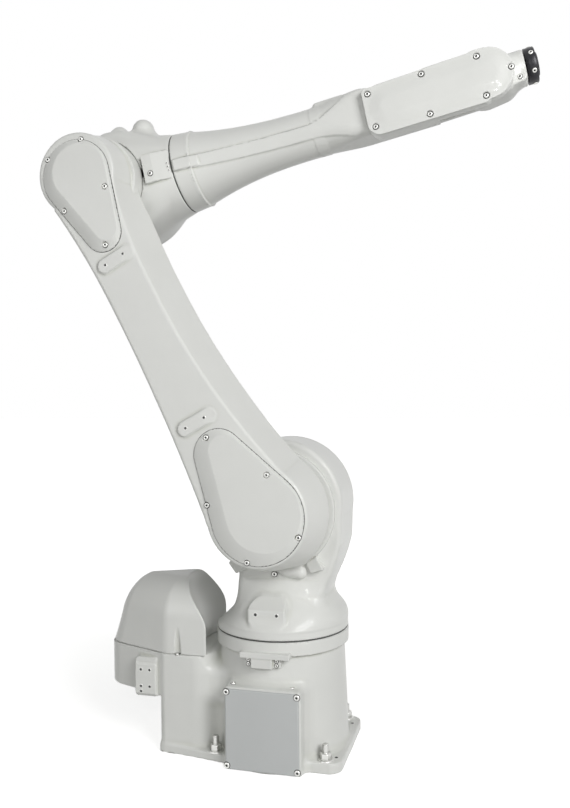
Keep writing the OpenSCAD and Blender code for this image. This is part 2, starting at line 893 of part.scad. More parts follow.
module tool_flange() {
    color(black)
        forearm_frame() difference() {
            union() {
                along(flange_s) cylinder(r = flange_r, h = flange_t);
                along(flange_s) cylinder(r = flange_boss_r, h = flange_t + flange_boss_t);
                along(tool_s - seam / 2 + run_gap) cylinder(r = flange_boss_r, h = seam);
            }
            along(flange_face_s + flange_boss_t - pilot_depth) cylinder(d = pilot_d, h = pilot_depth + over);
            for (a = [45 : 90 : 315])
                along(flange_face_s - tool_hole_depth) rotate(a)
                    translate([tool_pcd / 2, 0, 0]) cylinder(d = tool_hole_d, h = tool_hole_depth + over);
        }
}

base_casting();
rear_cover();
connector_cover();
turning_stop();
turret_bell();
shoulder_hub();
shoulder_flange();
shoulder_motor_cover();
shoulder_stops();
arm_casting();
arm_lower_cover();
arm_upper_cover();
arm_lower_pad();
arm_upper_pad();
elbow_housing();
elbow_motor_cover();
elbow_side_pad();
forearm_collar();
forearm_tube();
forearm_head();
fork_arm_near();
belt_cover_near();
fork_arm_far();
belt_cover_far();
wrist_body();
wrist_neck();
tool_flange();
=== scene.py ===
"""Looks of a six-axis industrial robot arm: enamelled castings, domed covers, screws, light and camera.

Lengths are millimetres in the part's frame until a mesh is made; Blender's own units are metres.
Castings are modelled as distance fields, negative inside, and meshed at their zero level.
"""
import json
from math import cos, pi, radians, sin, tau

import bpy
import numpy as np
from mathutils import Matrix, Vector


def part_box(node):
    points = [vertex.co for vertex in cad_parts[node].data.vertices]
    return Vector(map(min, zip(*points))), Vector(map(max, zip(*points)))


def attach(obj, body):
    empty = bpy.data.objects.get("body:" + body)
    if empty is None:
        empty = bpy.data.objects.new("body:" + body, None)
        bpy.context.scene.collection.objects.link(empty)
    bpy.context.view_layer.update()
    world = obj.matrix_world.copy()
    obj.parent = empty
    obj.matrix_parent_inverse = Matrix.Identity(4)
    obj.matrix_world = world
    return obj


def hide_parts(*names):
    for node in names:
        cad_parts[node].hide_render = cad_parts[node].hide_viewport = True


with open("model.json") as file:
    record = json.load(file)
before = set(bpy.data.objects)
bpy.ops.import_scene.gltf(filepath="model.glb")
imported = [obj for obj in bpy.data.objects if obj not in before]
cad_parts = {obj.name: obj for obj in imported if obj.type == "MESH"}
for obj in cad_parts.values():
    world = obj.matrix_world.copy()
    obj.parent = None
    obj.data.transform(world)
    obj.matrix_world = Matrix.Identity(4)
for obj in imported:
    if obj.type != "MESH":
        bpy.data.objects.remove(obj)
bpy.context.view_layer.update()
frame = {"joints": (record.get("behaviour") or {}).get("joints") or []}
MM = 0.001


# Places: the part's own frame, the lower arm's and the forearm's

class Place:
    """A frame turned about Y: x ahead, y across and z up, with its origin in the part's frame."""

    def __init__(self, origin, ahead):
        self.origin = np.array(origin, float)
        self.x = np.array(ahead, float) / np.linalg.norm(ahead)
        self.z = np.array((-self.x[2], 0, self.x[0]))

    def world(self, points):
        p = np.asarray(points, float)
        return self.origin + p[:, :1] * self.x + p[:, 1:2] * (0, 1, 0) + p[:, 2:] * self.z

    def turn(self, vectors):
        return self.world(vectors) - self.origin


JOINTS = {j["name"]: j for j in frame["joints"]}
SHOULDER, ELBOW, WRIST = (np.array(JOINTS[n]["pos_m"]) / MM for n in ("shoulder", "elbow", "bend"))
ARM_LINE = ELBOW - SHOULDER
ARM_LEN = np.linalg.norm(ARM_LINE)
PART = Place((0, 0, 0), (1, 0, 0))
ARM = Place(SHOULDER, (ARM_LINE[2], 0, -ARM_LINE[0]))
FOREARM = Place(ELBOW, JOINTS["roll"]["axis"])
WRIST_S = np.linalg.norm(WRIST - ELBOW)
ROLL_S = np.linalg.norm(np.array(JOINTS["roll"]["pos_m"]) / MM - ELBOW)
TOOL_S = np.linalg.norm(np.array(JOINTS["tool"]["pos_m"]) / MM - ELBOW)


def low(node, axis):
    """Lowest coordinate of a CAD node, in mm."""
    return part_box(node)[0]["xyz".index(axis)] / MM


def high(node, axis):
    """Highest coordinate of a CAD node, in mm."""
    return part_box(node)[1]["xyz".index(axis)] / MM


# Distance fields

def clamp(v, lowest=0.0, highest=1.0):
    return np.minimum(np.maximum(v, lowest), highest)


def ease(v):
    """Smooth step from 0 to 1."""
    t = clamp(v)
    return t * t * (3 - 2 * t)


def meet(a, b, r):
    """Both solids at once, with an edge rounded to r."""
    return np.minimum(np.maximum(a + r, b + r), 0) + np.hypot(np.maximum(a + r, 0), np.maximum(b + r, 0)) - r


def join(a, b, r):
    """Either solid, with a fillet of r between them."""
    return -meet(-a, -b, r)


def cut(a, b, r):
    """The first solid without the second, with its edge rounded to r."""
    return meet(a, -b, r)


def band(v, lowest, highest):
    return np.maximum(lowest - v, v - highest)


def disc(u, v, centre, r):
    return np.hypot(u - centre[0], v - centre[1]) - r


def rect(u, v, corner, opposite, r):
    """Rectangle with rounded corners."""
    du = band(u, corner[0], opposite[0]) + r
    dv = band(v, corner[1], opposite[1]) + r
    return np.minimum(np.maximum(du, dv), 0) + np.hypot(np.maximum(du, 0), np.maximum(dv, 0)) - r


def capsule(x, y, z, p, q, r):
    """Rod with round ends from p to q."""
    d = np.subtract(q, p)
    t = clamp(((x - p[0]) * d[0] + (y - p[1]) * d[1] + (z - p[2]) * d[2]) / float(d @ d))
    return np.sqrt((x - p[0] - t * d[0]) ** 2 + (y - p[1] - t * d[1]) ** 2 + (z - p[2] - t * d[2]) ** 2) - r


def polygon(u, v, points):
    """Signed distance to a closed outline."""
    best = np.full(np.broadcast(u, v).shape, 1e9)
    inside = np.zeros(best.shape, bool)
    for (ax, ay), (bx, by) in zip(points, np.roll(points, -1, axis=0)):
        ex, ey = bx - ax, by - ay
        t = clamp(((u - ax) * ex + (v - ay) * ey) / (ex * ex + ey * ey))
        best = np.minimum(best, (u - ax - t * ex) ** 2 + (v - ay - t * ey) ** 2)
        crosses = (ay > v) != (by > v)
        inside ^= crosses & (u < ax + (v - ay) * ex / (ey if ey else 1e-9))
    return np.where(inside, -1, 1) * np.sqrt(best)


def net(field, lowest, highest, cell):
    """Points, quads and normals of a field's zero level: one point in each cell that it crosses."""
    lowest = np.array(lowest, float)
    axes = [np.arange(a, b + cell, cell) for a, b in zip(lowest, highest)]
    x, y, z = axes[0][:, None, None], axes[1][None, :, None], axes[2][None, None, :]
    shape = tuple(len(a) for a in axes)
    value = np.broadcast_to(field(x, y, z), shape)
    inside = value < 0
    corners = np.array([(i, j, k) for i in (0, 1) for j in (0, 1) for k in (0, 1)])
    filled = sum(inside[i:shape[0] - 1 + i, j:shape[1] - 1 + j, k:shape[2] - 1 + k].astype(int)
                 for i, j, k in corners)
    mixed = (filled > 0) & (filled < 8)
    cells = np.argwhere(mixed)
    number = np.full(mixed.shape, -1)
    number[mixed] = np.arange(len(cells))
    total, count = np.zeros((len(cells), 3)), np.zeros(len(cells))
    for a in corners:
        for axis in range(3):
            if a[axis]:
                continue
            b = a + np.eye(3, dtype=int)[axis]
            start, end = value[tuple((cells + a).T)], value[tuple((cells + b).T)]
            crossed = (start < 0) != (end < 0)
            share = np.where(crossed, start / np.where(crossed, start - end, 1), 0)
            total[crossed] += (a + share[:, None] * (b - a))[crossed]
            count += crossed
    points = lowest + (cells + total / count[:, None]) * cell
    quads = []
    for axis in range(3):
        u, v = (axis + 1) % 3, (axis + 2) % 3
        first, second = np.moveaxis(inside, axis, 0)[:-1], np.moveaxis(inside, axis, 0)[1:]
        at = np.argwhere(np.moveaxis(first != second, 0, axis))
        at = at[(at[:, u] > 0) & (at[:, v] > 0) & (at[:, u] < shape[u] - 1) & (at[:, v] < shape[v] - 1)]
        ring = []
        for du, dv in ((-1, -1), (0, -1), (0, 0), (-1, 0)):
            corner = at.copy()
            corner[:, u] += du
            corner[:, v] += dv
            ring.append(number[tuple(corner.T)])
        quad = np.stack(ring, 1)
        outward = inside[tuple(at.T)]
        quads.append(np.where(outward[:, None], quad, quad[:, ::-1]))
    quads = np.concatenate(quads)
    for _ in range(4):
        slope, level = gradient(field, points)
        step = slope * (level / np.maximum((slope ** 2).sum(1), 0.05))[:, None]
        points = points - np.clip(step, -cell / 2, cell / 2)
    slope, _ = gradient(field, points)
    return points, quads, slope / np.maximum(np.linalg.norm(slope, axis=1), 1e-6)[:, None]


def gradient(field, points, reach=0.4):
    """Slope and value of a field at some points."""
    slope = np.zeros(points.shape)
    for axis in range(3):
        step = np.eye(3)[axis] * reach
        slope[:, axis] = (field(*(points + step).T) - field(*(points - step).T)) / (2 * reach)
    return slope, field(*points.T)


# Making pieces

def piece(name, body, material, points, faces, place=PART, replaces=(), normals=None,
          tints=None):
    """A Blender object from points in a place's frame; it rides on a body and may stand for CAD nodes."""
    mesh = bpy.data.meshes.new(name)
    mesh.from_pydata((place.world(points) * MM).tolist(), [], [list(f) for f in faces])
    for m in material if isinstance(material, (list, tuple)) else [material]:
        mesh.materials.append(m)
    if tints is not None:
        mesh.polygons.foreach_set("material_index", np.asarray(tints, np.int32))
    mesh.polygons.foreach_set("use_smooth", [True] * len(mesh.polygons))
    if normals is not None:
        mesh.normals_split_custom_set_from_vertices(place.turn(normals).tolist())
    mesh.validate()
    obj = bpy.data.objects.new(name, mesh)
    bpy.context.scene.collection.objects.link(obj)
    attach(obj, body)
    if replaces:
        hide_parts(*replaces)


def casting(name, body, field, lowest, highest, cell, place=PART, replaces=()):
    """A painted casting from a field."""
    points, quads, normals = net(field, lowest, highest, cell)
    piece(name, body, PAINT, points, quads, place, replaces=replaces, normals=normals)


def rings_to_faces(count, around, cap_start=False, cap_end=False):
    """Quads between count closed rings of around points each, with flat ends where asked."""
    faces = []
    for i in range(count - 1):
        for j in range(around):
            k = (j + 1) % around
            faces.append((i * around + j, i * around + k, (i + 1) * around + k, (i + 1) * around + j))
    if cap_start:
        faces.append(tuple(range(around))[::-1])
    if cap_end:
        faces.append(tuple((count - 1) * around + j for j in range(around)))
    return faces


def frame_to(direction):
    """A direction made one long, and two more that are square to it and to each other."""
    d = np.array(direction, float) / np.linalg.norm(direction)
    side = np.cross(d, (0, 0, 1) if abs(d[2]) < 0.9 else (1, 0, 0))
    side /= np.linalg.norm(side)
    return d, side, np.cross(d, side)


def spread(direction, around):
    """A direction made one long, and evenly spread spokes square to it."""
    d, u, v = frame_to(direction)
    angle = np.arange(around) * tau / around
    return d, np.cos(angle)[:, None] * u + np.sin(angle)[:, None] * v


def stack(base, direction, spokes, levels):
    """Rings of points along a line from base: a radius, or one for each spoke, at each height."""
    return [np.array(base) + h * direction + r * spokes for r, h in levels]


def lathe(profile, base, direction, around=96):
    """Points and faces of a profile (radius, height) turned about a line from base; its ends close flat."""
    d, spokes = spread(direction, around)
    return np.concatenate(stack(base, d, spokes, profile)), rings_to_faces(len(profile), around, True, True)


def bevelled(r, depth, edge, steps=5):
    """Profile of a disc with a rounded front edge."""
    arc = [(r - edge + edge * cos(a), depth - edge + edge * sin(a)) for a in np.linspace(0, pi / 2, steps)]
    return [(r, 0)] + arc


class Bits:
    """Many small like things in one mesh."""

    def __init__(self):
        self.points, self.faces, self.tints, self.count = [], [], [], 0

    def add(self, points, faces, tint=0):
        self.points.append(np.asarray(points, float))
        self.faces += [tuple(np.array(f) + self.count) for f in faces]
        self.tints += [tint] * len(faces)
        self.count += len(points)

    def made(self, name, body, materials, place=PART, slot="white_paint"):
        piece(name, body, materials, np.concatenate(self.points), self.faces, place, tints=self.tints)


def hexagon(r, around):
    """Radius of a hexagon, r to its corners, at evenly spaced angles."""
    a = np.arange(around) * tau / around
    return r * cos(pi / 6) / np.cos(np.mod(a, pi / 3) - pi / 6)


def add_screw(bits, at, out, r=4.6):
    """A socket screw with a low round head; its socket floor and a thin ring round its foot are painted
    shade.
    """
    around = 24
    d, spokes = spread(out, around)
    height = 0.5 * r
    socket = hexagon(0.5 * r, around)[:, None]
    head = [(r, -1.0), (r, 0.55 * height), (0.86 * r, 0.85 * height), (0.6 * r, height)]
    rings = stack(at, d, spokes, head + [(socket, height), (socket, 0.25 * height)])
    bits.add(np.concatenate(rings), rings_to_faces(len(rings), around))
    # Painted shade: the socket floor is a flat dark disc.
    bits.add(rings[-1], [tuple(range(around))], 1)
    # Painted shade: a thin dark ring round the head's foot.
    edge = stack(at, d, spokes, ((r + 1.1, 0.05), (r + 0.9, 0.35), (r, 0.3)))
    bits.add(np.concatenate(edge), rings_to_faces(len(edge), around), 1)


def add_hole(bits, at, out, r=2.5):
    """A tapped hole: a bright countersink round a middle that is a flat dark disc of painted shade."""
    around = 20
    d, spokes = spread(out, around)
    rings = stack(at, d, spokes, ((r + 0.9, 0.05), (r + 0.5, 0.4), (r, 0.3)))
    bits.add(np.concatenate(rings), rings_to_faces(len(rings), around), 0)
    # Painted shade: the hole's depth is a flat dark disc.
    bits.add(rings[-1], [tuple(range(around))], 1)


def add_nut(bits, at, r=11.0, stud_r=6.0, stud_h=30.0):
    """A foundation bolt: washer, hexagon nut and a threaded stud, upright."""
    around, up = 36, np.array((0, 0, 1))
    angle = np.arange(around) * tau / around
    spokes = np.stack([np.cos(angle), np.sin(angle), 0 * angle], 1)
    washer_h, nut_h, pitch, groove = 3.0, 11.0, 1.75, 0.9
    top = washer_h + nut_h
    washer = ((r + 3.5, 0), (r + 3.5, washer_h - 0.6), (r + 2.9, washer_h), (r - 2, washer_h))
    six = hexagon(r, around)[:, None]
    nut = ((six, washer_h), (six, top - 1.5), (np.minimum(six, r * 0.93), top), (stud_r, top))
    stud = []
    for i in range(int((stud_h - top) / pitch)):
        stud += [(stud_r, top + i * pitch), (stud_r - groove, top + i * pitch + pitch / 2)]
    stud += [(stud_r, stud_h - 1.5), (stud_r - 1.5, stud_h)]
    for levels, closed in ((washer, False), (nut, False), (stud, True)):
        rings = stack(at, up, spokes, levels)
        bits.add(np.concatenate(rings), rings_to_faces(len(rings), around, False, closed))


# Materials

def feed(tree, made, inputs):
    """Set a node's inputs to values, or link them to other nodes' sockets."""
    for key, value in inputs.items():
        if isinstance(value, bpy.types.NodeSocket):
            tree.links.new(value, made.inputs[key])
        else:
            made.inputs[key].default_value = value


def node(tree, kind, inputs=None, **values):
    """A new shader node with its settings and inputs."""
    made = tree.nodes.new(kind)
    for key, value in values.items():
        setattr(made, key, value)
    feed(tree, made, inputs or {})
    return made


def noise(tree, where, scale, detail):
    made = node(tree, "ShaderNodeTexNoise", {"Vector": where, "Scale": scale, "Detail": detail})
    return made.outputs["Fac"]


def ramp(tree, value, *stops):
    """Colour that runs between two stops, each a value and its colour."""
    made = node(tree, "ShaderNodeValToRGB", {"Fac": value})
    for element, (at, colour) in zip(made.color_ramp.elements, stops):
        element.position = at
        element.color = [*colour, 1]
    return made.outputs["Color"]


def surface(name, colour, rough, metallic=0.0, specular=0.5, coat=0.0, mottle=0.03, mottle_scale=9.0,
            grain=1400.0, grain_height=0.00006, rough_swing=0.05, dirt_and_shade_colour=None):
    """A surface with faint mottling, fine grain as bump, uneven gloss and, if given, hollows darkened towards
    a colour that stands for dirt and painted shade.
    """
    material = bpy.data.materials.new(name)
    material.use_nodes = True
    tree = material.node_tree
    shader = tree.nodes["Principled BSDF"]
    where = node(tree, "ShaderNodeTexCoord").outputs["Object"]
    broad = noise(tree, where, mottle_scale, 5)
    darker, lighter = ([min(1, c * share) for c in colour] for share in (1 - mottle, 1 + mottle))
    tint = ramp(tree, broad, (0.3, darker), (0.7, lighter))
    # Painted shade, partly dirt: hollows found by pointiness are darkened towards an olive colour.
    if dirt_and_shade_colour:
        bend = node(tree, "ShaderNodeNewGeometry").outputs["Pointiness"]
        hollow = ramp(tree, bend, (0.43, (1, 1, 1)), (0.5, (0, 0, 0)))
        mix = node(tree, "ShaderNodeMixRGB", {"Fac": hollow, "Color1": tint, "Color2": [*dirt_and_shade_colour, 1]})
        tint = mix.outputs["Color"]
    gloss = node(tree, "ShaderNodeMapRange",
                 {"Value": broad, "To Min": rough - rough_swing, "To Max": rough + rough_swing})
    fine = noise(tree, where, grain, 3)
    bump = node(tree, "ShaderNodeBump", {"Strength": 0.35, "Distance": grain_height, "Height": fine})
    feed(tree, shader, {"Base Color": tint, "Roughness": gloss.outputs["Result"], "Metallic": metallic,
                        "Specular IOR Level": specular, "Coat Weight": coat, "Coat Roughness": 0.09,
                        "Normal": bump.outputs["Normal"]})
    return material


# The olive colour in its hollows is partly dirt and partly painted shade.
PAINT = surface("white_enamel", (0.77, 0.775, 0.75), 0.34, specular=0.2, coat=0.2, mottle=0.02, grain=420.0,
                grain_height=0.0001, dirt_and_shade_colour=(0.55, 0.56, 0.49))
PANEL = surface("grey_panel", (0.56, 0.575, 0.575), 0.42, mottle=0.025, grain=900.0, grain_height=0.00012)
BLACK = surface("black_oxide", (0.012, 0.012, 0.016), 0.34, metallic=0.3, mottle=0.2, grain=700.0)
STEEL = surface("zinc_screws", (0.62, 0.62, 0.60), 0.3, metallic=1.0, mottle=0.06, mottle_scale=60.0)
# Painted shade: a near-black colour put in screw sockets, in rings round screw feet and in hole middles.
SHADE = surface("painted_recess_shade", (0.03, 0.031, 0.03), 0.7, mottle=0.2, mottle_scale=40.0)
# Dark sealing colour, which also stands in for the shade in seams and gaps.
SEAL_AND_SEAM_SHADE = surface("seal_and_seam_shade", (0.07, 0.072, 0.068), 0.6, mottle=0.15, mottle_scale=30.0)
# Steel for the screws, and painted shade for their dark faces.
STEEL_AND_SHADE = [STEEL, SHADE]


# Base: foot plate, column, rear pillar, shelf and connector box

SEAM_Z = JOINTS["turn"]["pos_m"][2] / MM
SEAM = 2.0
PLATE_RIGHT = high("base_casting", "x") + 3
PLATE_T, LUG_R, PLATE_NEAR, PLATE_LEFT = 20.0, 24.0, 115.5, -60.0
FOOT_T = 15.0
COLUMN_FOOT_R, COLUMN_TOP_R = 127.0, 119.0
RING_R, RING_Z = 128.0, 208.0
PILLAR_BACK, PILLAR_FRONT, PILLAR_R, PILLAR_FRONT_R = -221.0, -112.0, 14.0, 42.0
PILLAR_SET_BACK, PILLAR_LEAN = 12.0, 0.6
SHELF_Z = 103.0
WEB_HALF, WEB_TOP = 86.0, 164.0
COVER_Z, COVER_TOP = low("rear_cover", "z"), high("rear_cover", "z")
COVER_BACK = low("rear_cover", "x") + 5
COVER_TURN, COVER_HALF, COVER_END_R, COVER_TAIL_HALF = -199.0, 97.0, 54.0, 4.0
COVER_SEAM = 0.6
COVER_INSET, COVER_LEAN, COVER_ROUND = 2.0, 50.0, 70.0
CLEAR_Y, CLEAR_R, CLEAR_GROWTH, CLEAR_LOW, CLEAR_HIGH = 18.0, 167.0, 21.0, 238.0, 312.0
POCKET_X, POCKET_APEX, POCKET_R = -183.0, 240.0, 7.0
FOOT = ((PILLAR_BACK + 2, -94), (-117, -111), (-82, -117), (0, -117))
BOX_LEFT, BOX_RIGHT, BOX_FRONT, BOX_TOP = -75.0, 69.0, -138.0, 152.0
BOX_SCREWS = ((-62, -120), (49, -120))
BRACKET_LEFT, BRACKET_RIGHT, BRACKET_LOW, BRACKET_HIGH = -272.0, -229.0, 106.0, 165.0
BRACKET_FACE, BRACKET_ROOT = -94.0, -40.0
BRACKET_HOLES = ((12.5, 16), (12.5, 48), (30.5, 16), (30.5, 48), (12.5, 6))
BOLT_X, BOLT_Y = 105, 100
PLATE_HOLES = ((122, -86), (122, 74), (-122, 74))


def mirrored(side):
    """Closed outline from the points of its near side, with a far side like it."""
    return np.array(list(side) + [(u, -v) for u, v in reversed(side)])


def rear_plan(x, y, front):
    """Plan of the shelf and the rear cover: straight sides ahead, tapering sides behind, a round rear."""
    half = COVER_HALF - COVER_END_R
    side = [(front - COVER_END_R, -half), (COVER_TURN, -half), (COVER_BACK + COVER_END_R, -COVER_TAIL_HALF)]
    return polygon(x, y, mirrored(side)) - COVER_END_R


def base_field(x, y, z):
    """Foot plate, column with its ring, pillar, shelf, connector box and bracket pad, blended."""
    radial = np.hypot(x, y)
    column_r = COLUMN_FOOT_R + (COLUMN_TOP_R - COLUMN_FOOT_R) * z / RING_Z
    column = meet(radial - column_r, band(z, 0, RING_Z + 5), 1)
    ring = meet(radial - RING_R, band(z, RING_Z, SEAM_Z - SEAM / 2), 1.2)
    plate = rect(x, y, (PLATE_LEFT, -PLATE_NEAR), (PLATE_RIGHT, PLATE_NEAR), LUG_R)
    plate = meet(plate, band(z, 0, PLATE_T), 3)
    foot = meet(polygon(x, y, mirrored(FOOT)), band(z, 0, FOOT_T), 3)
    pillar = rect(x, y, (PILLAR_BACK, -COVER_HALF), (PILLAR_FRONT + 40, COVER_HALF), PILLAR_R)
    pillar = meet(pillar, x - PILLAR_FRONT, PILLAR_FRONT_R)
    pillar = meet(pillar, x - PILLAR_FRONT + PILLAR_SET_BACK + PILLAR_LEAN * (z - COVER_Z), 20)
    pillar = meet(pillar, band(z, 0, COVER_Z - COVER_SEAM), 1)
    shelf = meet(rear_plan(x, y, PILLAR_FRONT), -disc(x, y, (0, CLEAR_Y), CLEAR_R), 6)
    shelf = meet(meet(shelf, band(z, SHELF_Z, COVER_Z - COVER_SEAM), 1), SHELF_Z - z, 8)
    web = meet(rect(x, y, (COVER_TURN, -WEB_HALF), (0, WEB_HALF), 10), band(z, SHELF_Z, WEB_TOP), 12)
    box = meet(rect(x, z, (BOX_LEFT, -20), (BOX_RIGHT, BOX_TOP), 7), band(y, BOX_FRONT, 0), 4)
    box = meet(box, -z, 1)
    pad = rect(x, z, (BRACKET_LEFT, BRACKET_LOW), (BRACKET_RIGHT, BRACKET_HIGH), 3)
    pad = meet(pad, band(y, BRACKET_FACE, BRACKET_ROOT), 1.5)
    wedge = rect(x, z, (BRACKET_LEFT, SHELF_Z), (BRACKET_RIGHT + 16, BRACKET_HIGH + 12), 6)
    wedge = meet(wedge, (x - BRACKET_RIGHT) * 0.75 - (y - BRACKET_FACE - 2) * 0.66, 2)
    wedge = np.maximum(wedge, band(y, BRACKET_FACE + 2, BRACKET_ROOT))
    solid = join(join(plate, foot, 3), column, 12)
    solid = join(solid, join(pillar, column, 30), 3)
    solid = join(solid, shelf, 1.5)
    solid = join(solid, web, 16)
    solid = join(solid, join(foot, pillar, 10), 2)
    solid = join(solid, box, 16)
    solid = join(solid, ring, 2)
    solid = join(join(solid, wedge, 3), pad, 2)
    return np.maximum(solid, -z)


def make_seal_with_seam_shade(name, body, at, direction, inner, outer, half, place=PART):
    """A dark sealing ring that fills the seam between two bodies; its darkness also paints the seam's shade.
    """
    profile = [(inner, -half), (outer, -half), (outer, half), (inner, half)]
    points, faces = lathe(profile, at, direction, 128)
    piece(name, body, SEAL_AND_SEAM_SHADE, points, faces, place)


def make_base():
    casting("base_body", "base", base_field, (COVER_BACK - 8, -150, -4), (PLATE_RIGHT + 5, 145, SEAM_Z + 6),
            3.5, replaces=("base_casting",))
    # Dark ring in the turning seam: partly a seal, partly painted shade of the gap.
    make_seal_with_seam_shade("turning_seal_and_shade", "base", (0, 0, SEAM_Z), (0, 0, 1), RING_R - 8, RING_R - 1.6, SEAM / 2)
    bits = Bits()
    for x, y in ((-1, -1), (1, -1), (1, 1), (-1, 1)):
        add_nut(bits, (x * BOLT_X, y * BOLT_Y, (PLATE_T if x > 0 else FOOT_T) - 0.5))
    for x, y in PLATE_HOLES:
        add_hole(bits, (x, y, PLATE_T), (0, 0, 1), 3)
    for x, z in BRACKET_HOLES:
        add_hole(bits, (BRACKET_LEFT + x, BRACKET_FACE, BRACKET_LOW + z), (0, -1, 0))
    for x, y in BOX_SCREWS:
        add_screw(bits, (x, y, BOX_TOP), (0, 0, 1))
    bits.made("base_fasteners", "base", STEEL_AND_SHADE)


def cover_field(x, y, z):
    """Motor cover behind the turret: rounded shoulders, a leaning rear, a front hollowed round the turret."""
    rise = clamp((z - COVER_Z) / (COVER_TOP - COVER_Z))
    behind = clamp((COVER_TURN - x) / (COVER_TURN - COVER_BACK))
    plan = rear_plan(x - COVER_LEAN * rise * behind, y, 0) + COVER_INSET
    hood = meet(plan, z - COVER_TOP, COVER_ROUND)
    clear = CLEAR_R + CLEAR_GROWTH * ease((z - CLEAR_LOW) / (CLEAR_HIGH - CLEAR_LOW))
    hood = meet(hood, -disc(x, y, (0, CLEAR_Y), clear), 4)
    for side in (-1, 1):
        foot = (POCKET_X, side * (COVER_HALF - COVER_INSET), COVER_Z)
        apex = (POCKET_X, side * (COVER_HALF + POCKET_R - COVER_INSET), POCKET_APEX)
        hood = cut(hood, capsule(x, y, z, foot, apex, POCKET_R), 0.8)
    return meet(hood, COVER_Z + COVER_SEAM - z, 0.8)


def make_rear_cover():
    casting("rear_hood", "base", cover_field, (COVER_BACK - 8, -COVER_HALF - 8, COVER_Z - 5),
            (-90, COVER_HALF + 8, COVER_TOP + 6), 2.6, replaces=("rear_cover",))
    bits = Bits()
    for side in (-1, 1):
        add_screw(bits, (POCKET_X, side * (COVER_HALF - 3), COVER_Z + COVER_SEAM), (0, 0, 1), 3.6)
    bits.made("hood_screws", "base", STEEL_AND_SHADE)


STOP_FACE = low("turning_stop", "y")
STOP_BLOCK, STOP_TAB = ((-46, 205), (48, 216)), ((-25, 187), (15, 210))
STOP_PLATE, STOP_PLATE_FACE, STOP_ROOT = ((-36, 188), (30, 208)), -127.0, -100.0
STOP_SCREWS = ((-31, 193), (-31, 201), (22, 193), (22, 201))


def stop_field(x, y, z):
    """Stop block under the ring's front, with a tab below it on a thin screwed plate."""
    block = meet(rect(x, z, *STOP_BLOCK, 1.5), band(y, STOP_FACE + 1, STOP_ROOT), 1.5)
    tab = meet(rect(x, z, *STOP_TAB, 1.5), band(y, STOP_FACE + 2, STOP_ROOT), 1.5)
    plate = meet(rect(x, z, *STOP_PLATE, 2), band(y, STOP_PLATE_FACE, STOP_ROOT), 1)
    return np.maximum(np.minimum(join(block, tab, 1), plate), RING_R - 16 - np.hypot(x, y))


def make_turning_stop():
    casting("stop_block", "base", stop_field, (-50, STOP_FACE - 4, 182), (52, STOP_ROOT + 4, 228), 2.0,
            replaces=("turning_stop",))
    bits = Bits()
    for x, z in STOP_SCREWS:
        add_screw(bits, (x, STOP_PLATE_FACE, z), (0, -1, 0), 3.4)
    bits.made("stop_screws", "base", STEEL_AND_SHADE)


def make_connector_cover():
    """Grey plate with rounded corners on the connector box, held by four screws."""
    left, right = low("connector_cover", "x"), high("connector_cover", "x")
    bottom, top = low("connector_cover", "z"), high("connector_cover", "z")
    face, back = low("connector_cover", "y"), high("connector_cover", "y")

    def field(x, y, z):
        return meet(rect(x, z, (left, bottom), (right, top), 5), band(y, face, back), 1.4)

    points, quads, normals = net(field, (left - 5, face - 5, bottom - 5), (right + 5, back + 5, top + 5), 2.2)
    piece("connector_plate", "base", PANEL, points, quads, replaces=("connector_cover",),
          normals=normals)
    bits = Bits()
    for x in (left + 3, right - 3):
        for z in (bottom + 7, top - 5):
            add_screw(bits, (x, face, z), (0, -1, 0), 5.4)
    bits.made("connector_screws", "base", STEEL_AND_SHADE, slot="grey_panel")


make_base()
make_rear_cover()
make_turning_stop()
make_connector_cover()


# Turret: bell, neck, shoulder hub, flange and stops

SHOULDER_Z = SHOULDER[2]
BELL_R, NECK_FRONT, NECK_REAR, NECK_Y = 127.5, 91.0, 73.0, 54.0
HUB_R, HUB_NEAR, HUB_FAR = 130.0, -58.0, 70.0
SKIRT = ((78, 272), (89, 305), (98, 326), (108.5, 344), (119.5, 373), (127.5, 402), (HUB_R, SHOULDER_Z))
REAR_SKIRT = ((-108, SHOULDER_Z + 10), (-106, SHOULDER_Z - 20), (-88, 400), (-74, 370), (-69, 345),
              (-69, 310), (-70, 272))
SWEEP_Z, SWEEP_RISE, SWEEP_POWER = 240.0, 74.0, 1.75
FULL_Z, FULL_RISE, FULL_POWERS = 258.0, 47.0, (1.9, 1.35)
SIDE_Z, SIDE_RISE, SIDE_POWER = 252.0, 83.0, 0.9
SQUARE_Z, SQUARE_RISE, SQUARE_GAIN = 250.0, 60.0, 0.8
AHEAD_BLEND = 60.0
HUB = (6.0, SHOULDER_Z + 8), 125.0
FLANGE_AT, FLANGE_R, FLANGE_FACE = (4.0, SHOULDER_Z), 115.0, low("shoulder_flange", "y")
MOTOR_FACE = high("shoulder_motor_cover", "y")
BELL_PAD, BELL_PAD_R, BELL_PAD_FACE = ((-36.0, 255.0), (36.0, 308.0)), 22.0, -116.0
BELL_PAD_TOP, BELL_PAD_SLOPE = 288.0, 1.4
BELL_HOLES = ((-20, 280), (20, 280))
HUB_SCREW = (3, HUB_NEAR - 9, 345)
MOTOR_R = 100.0


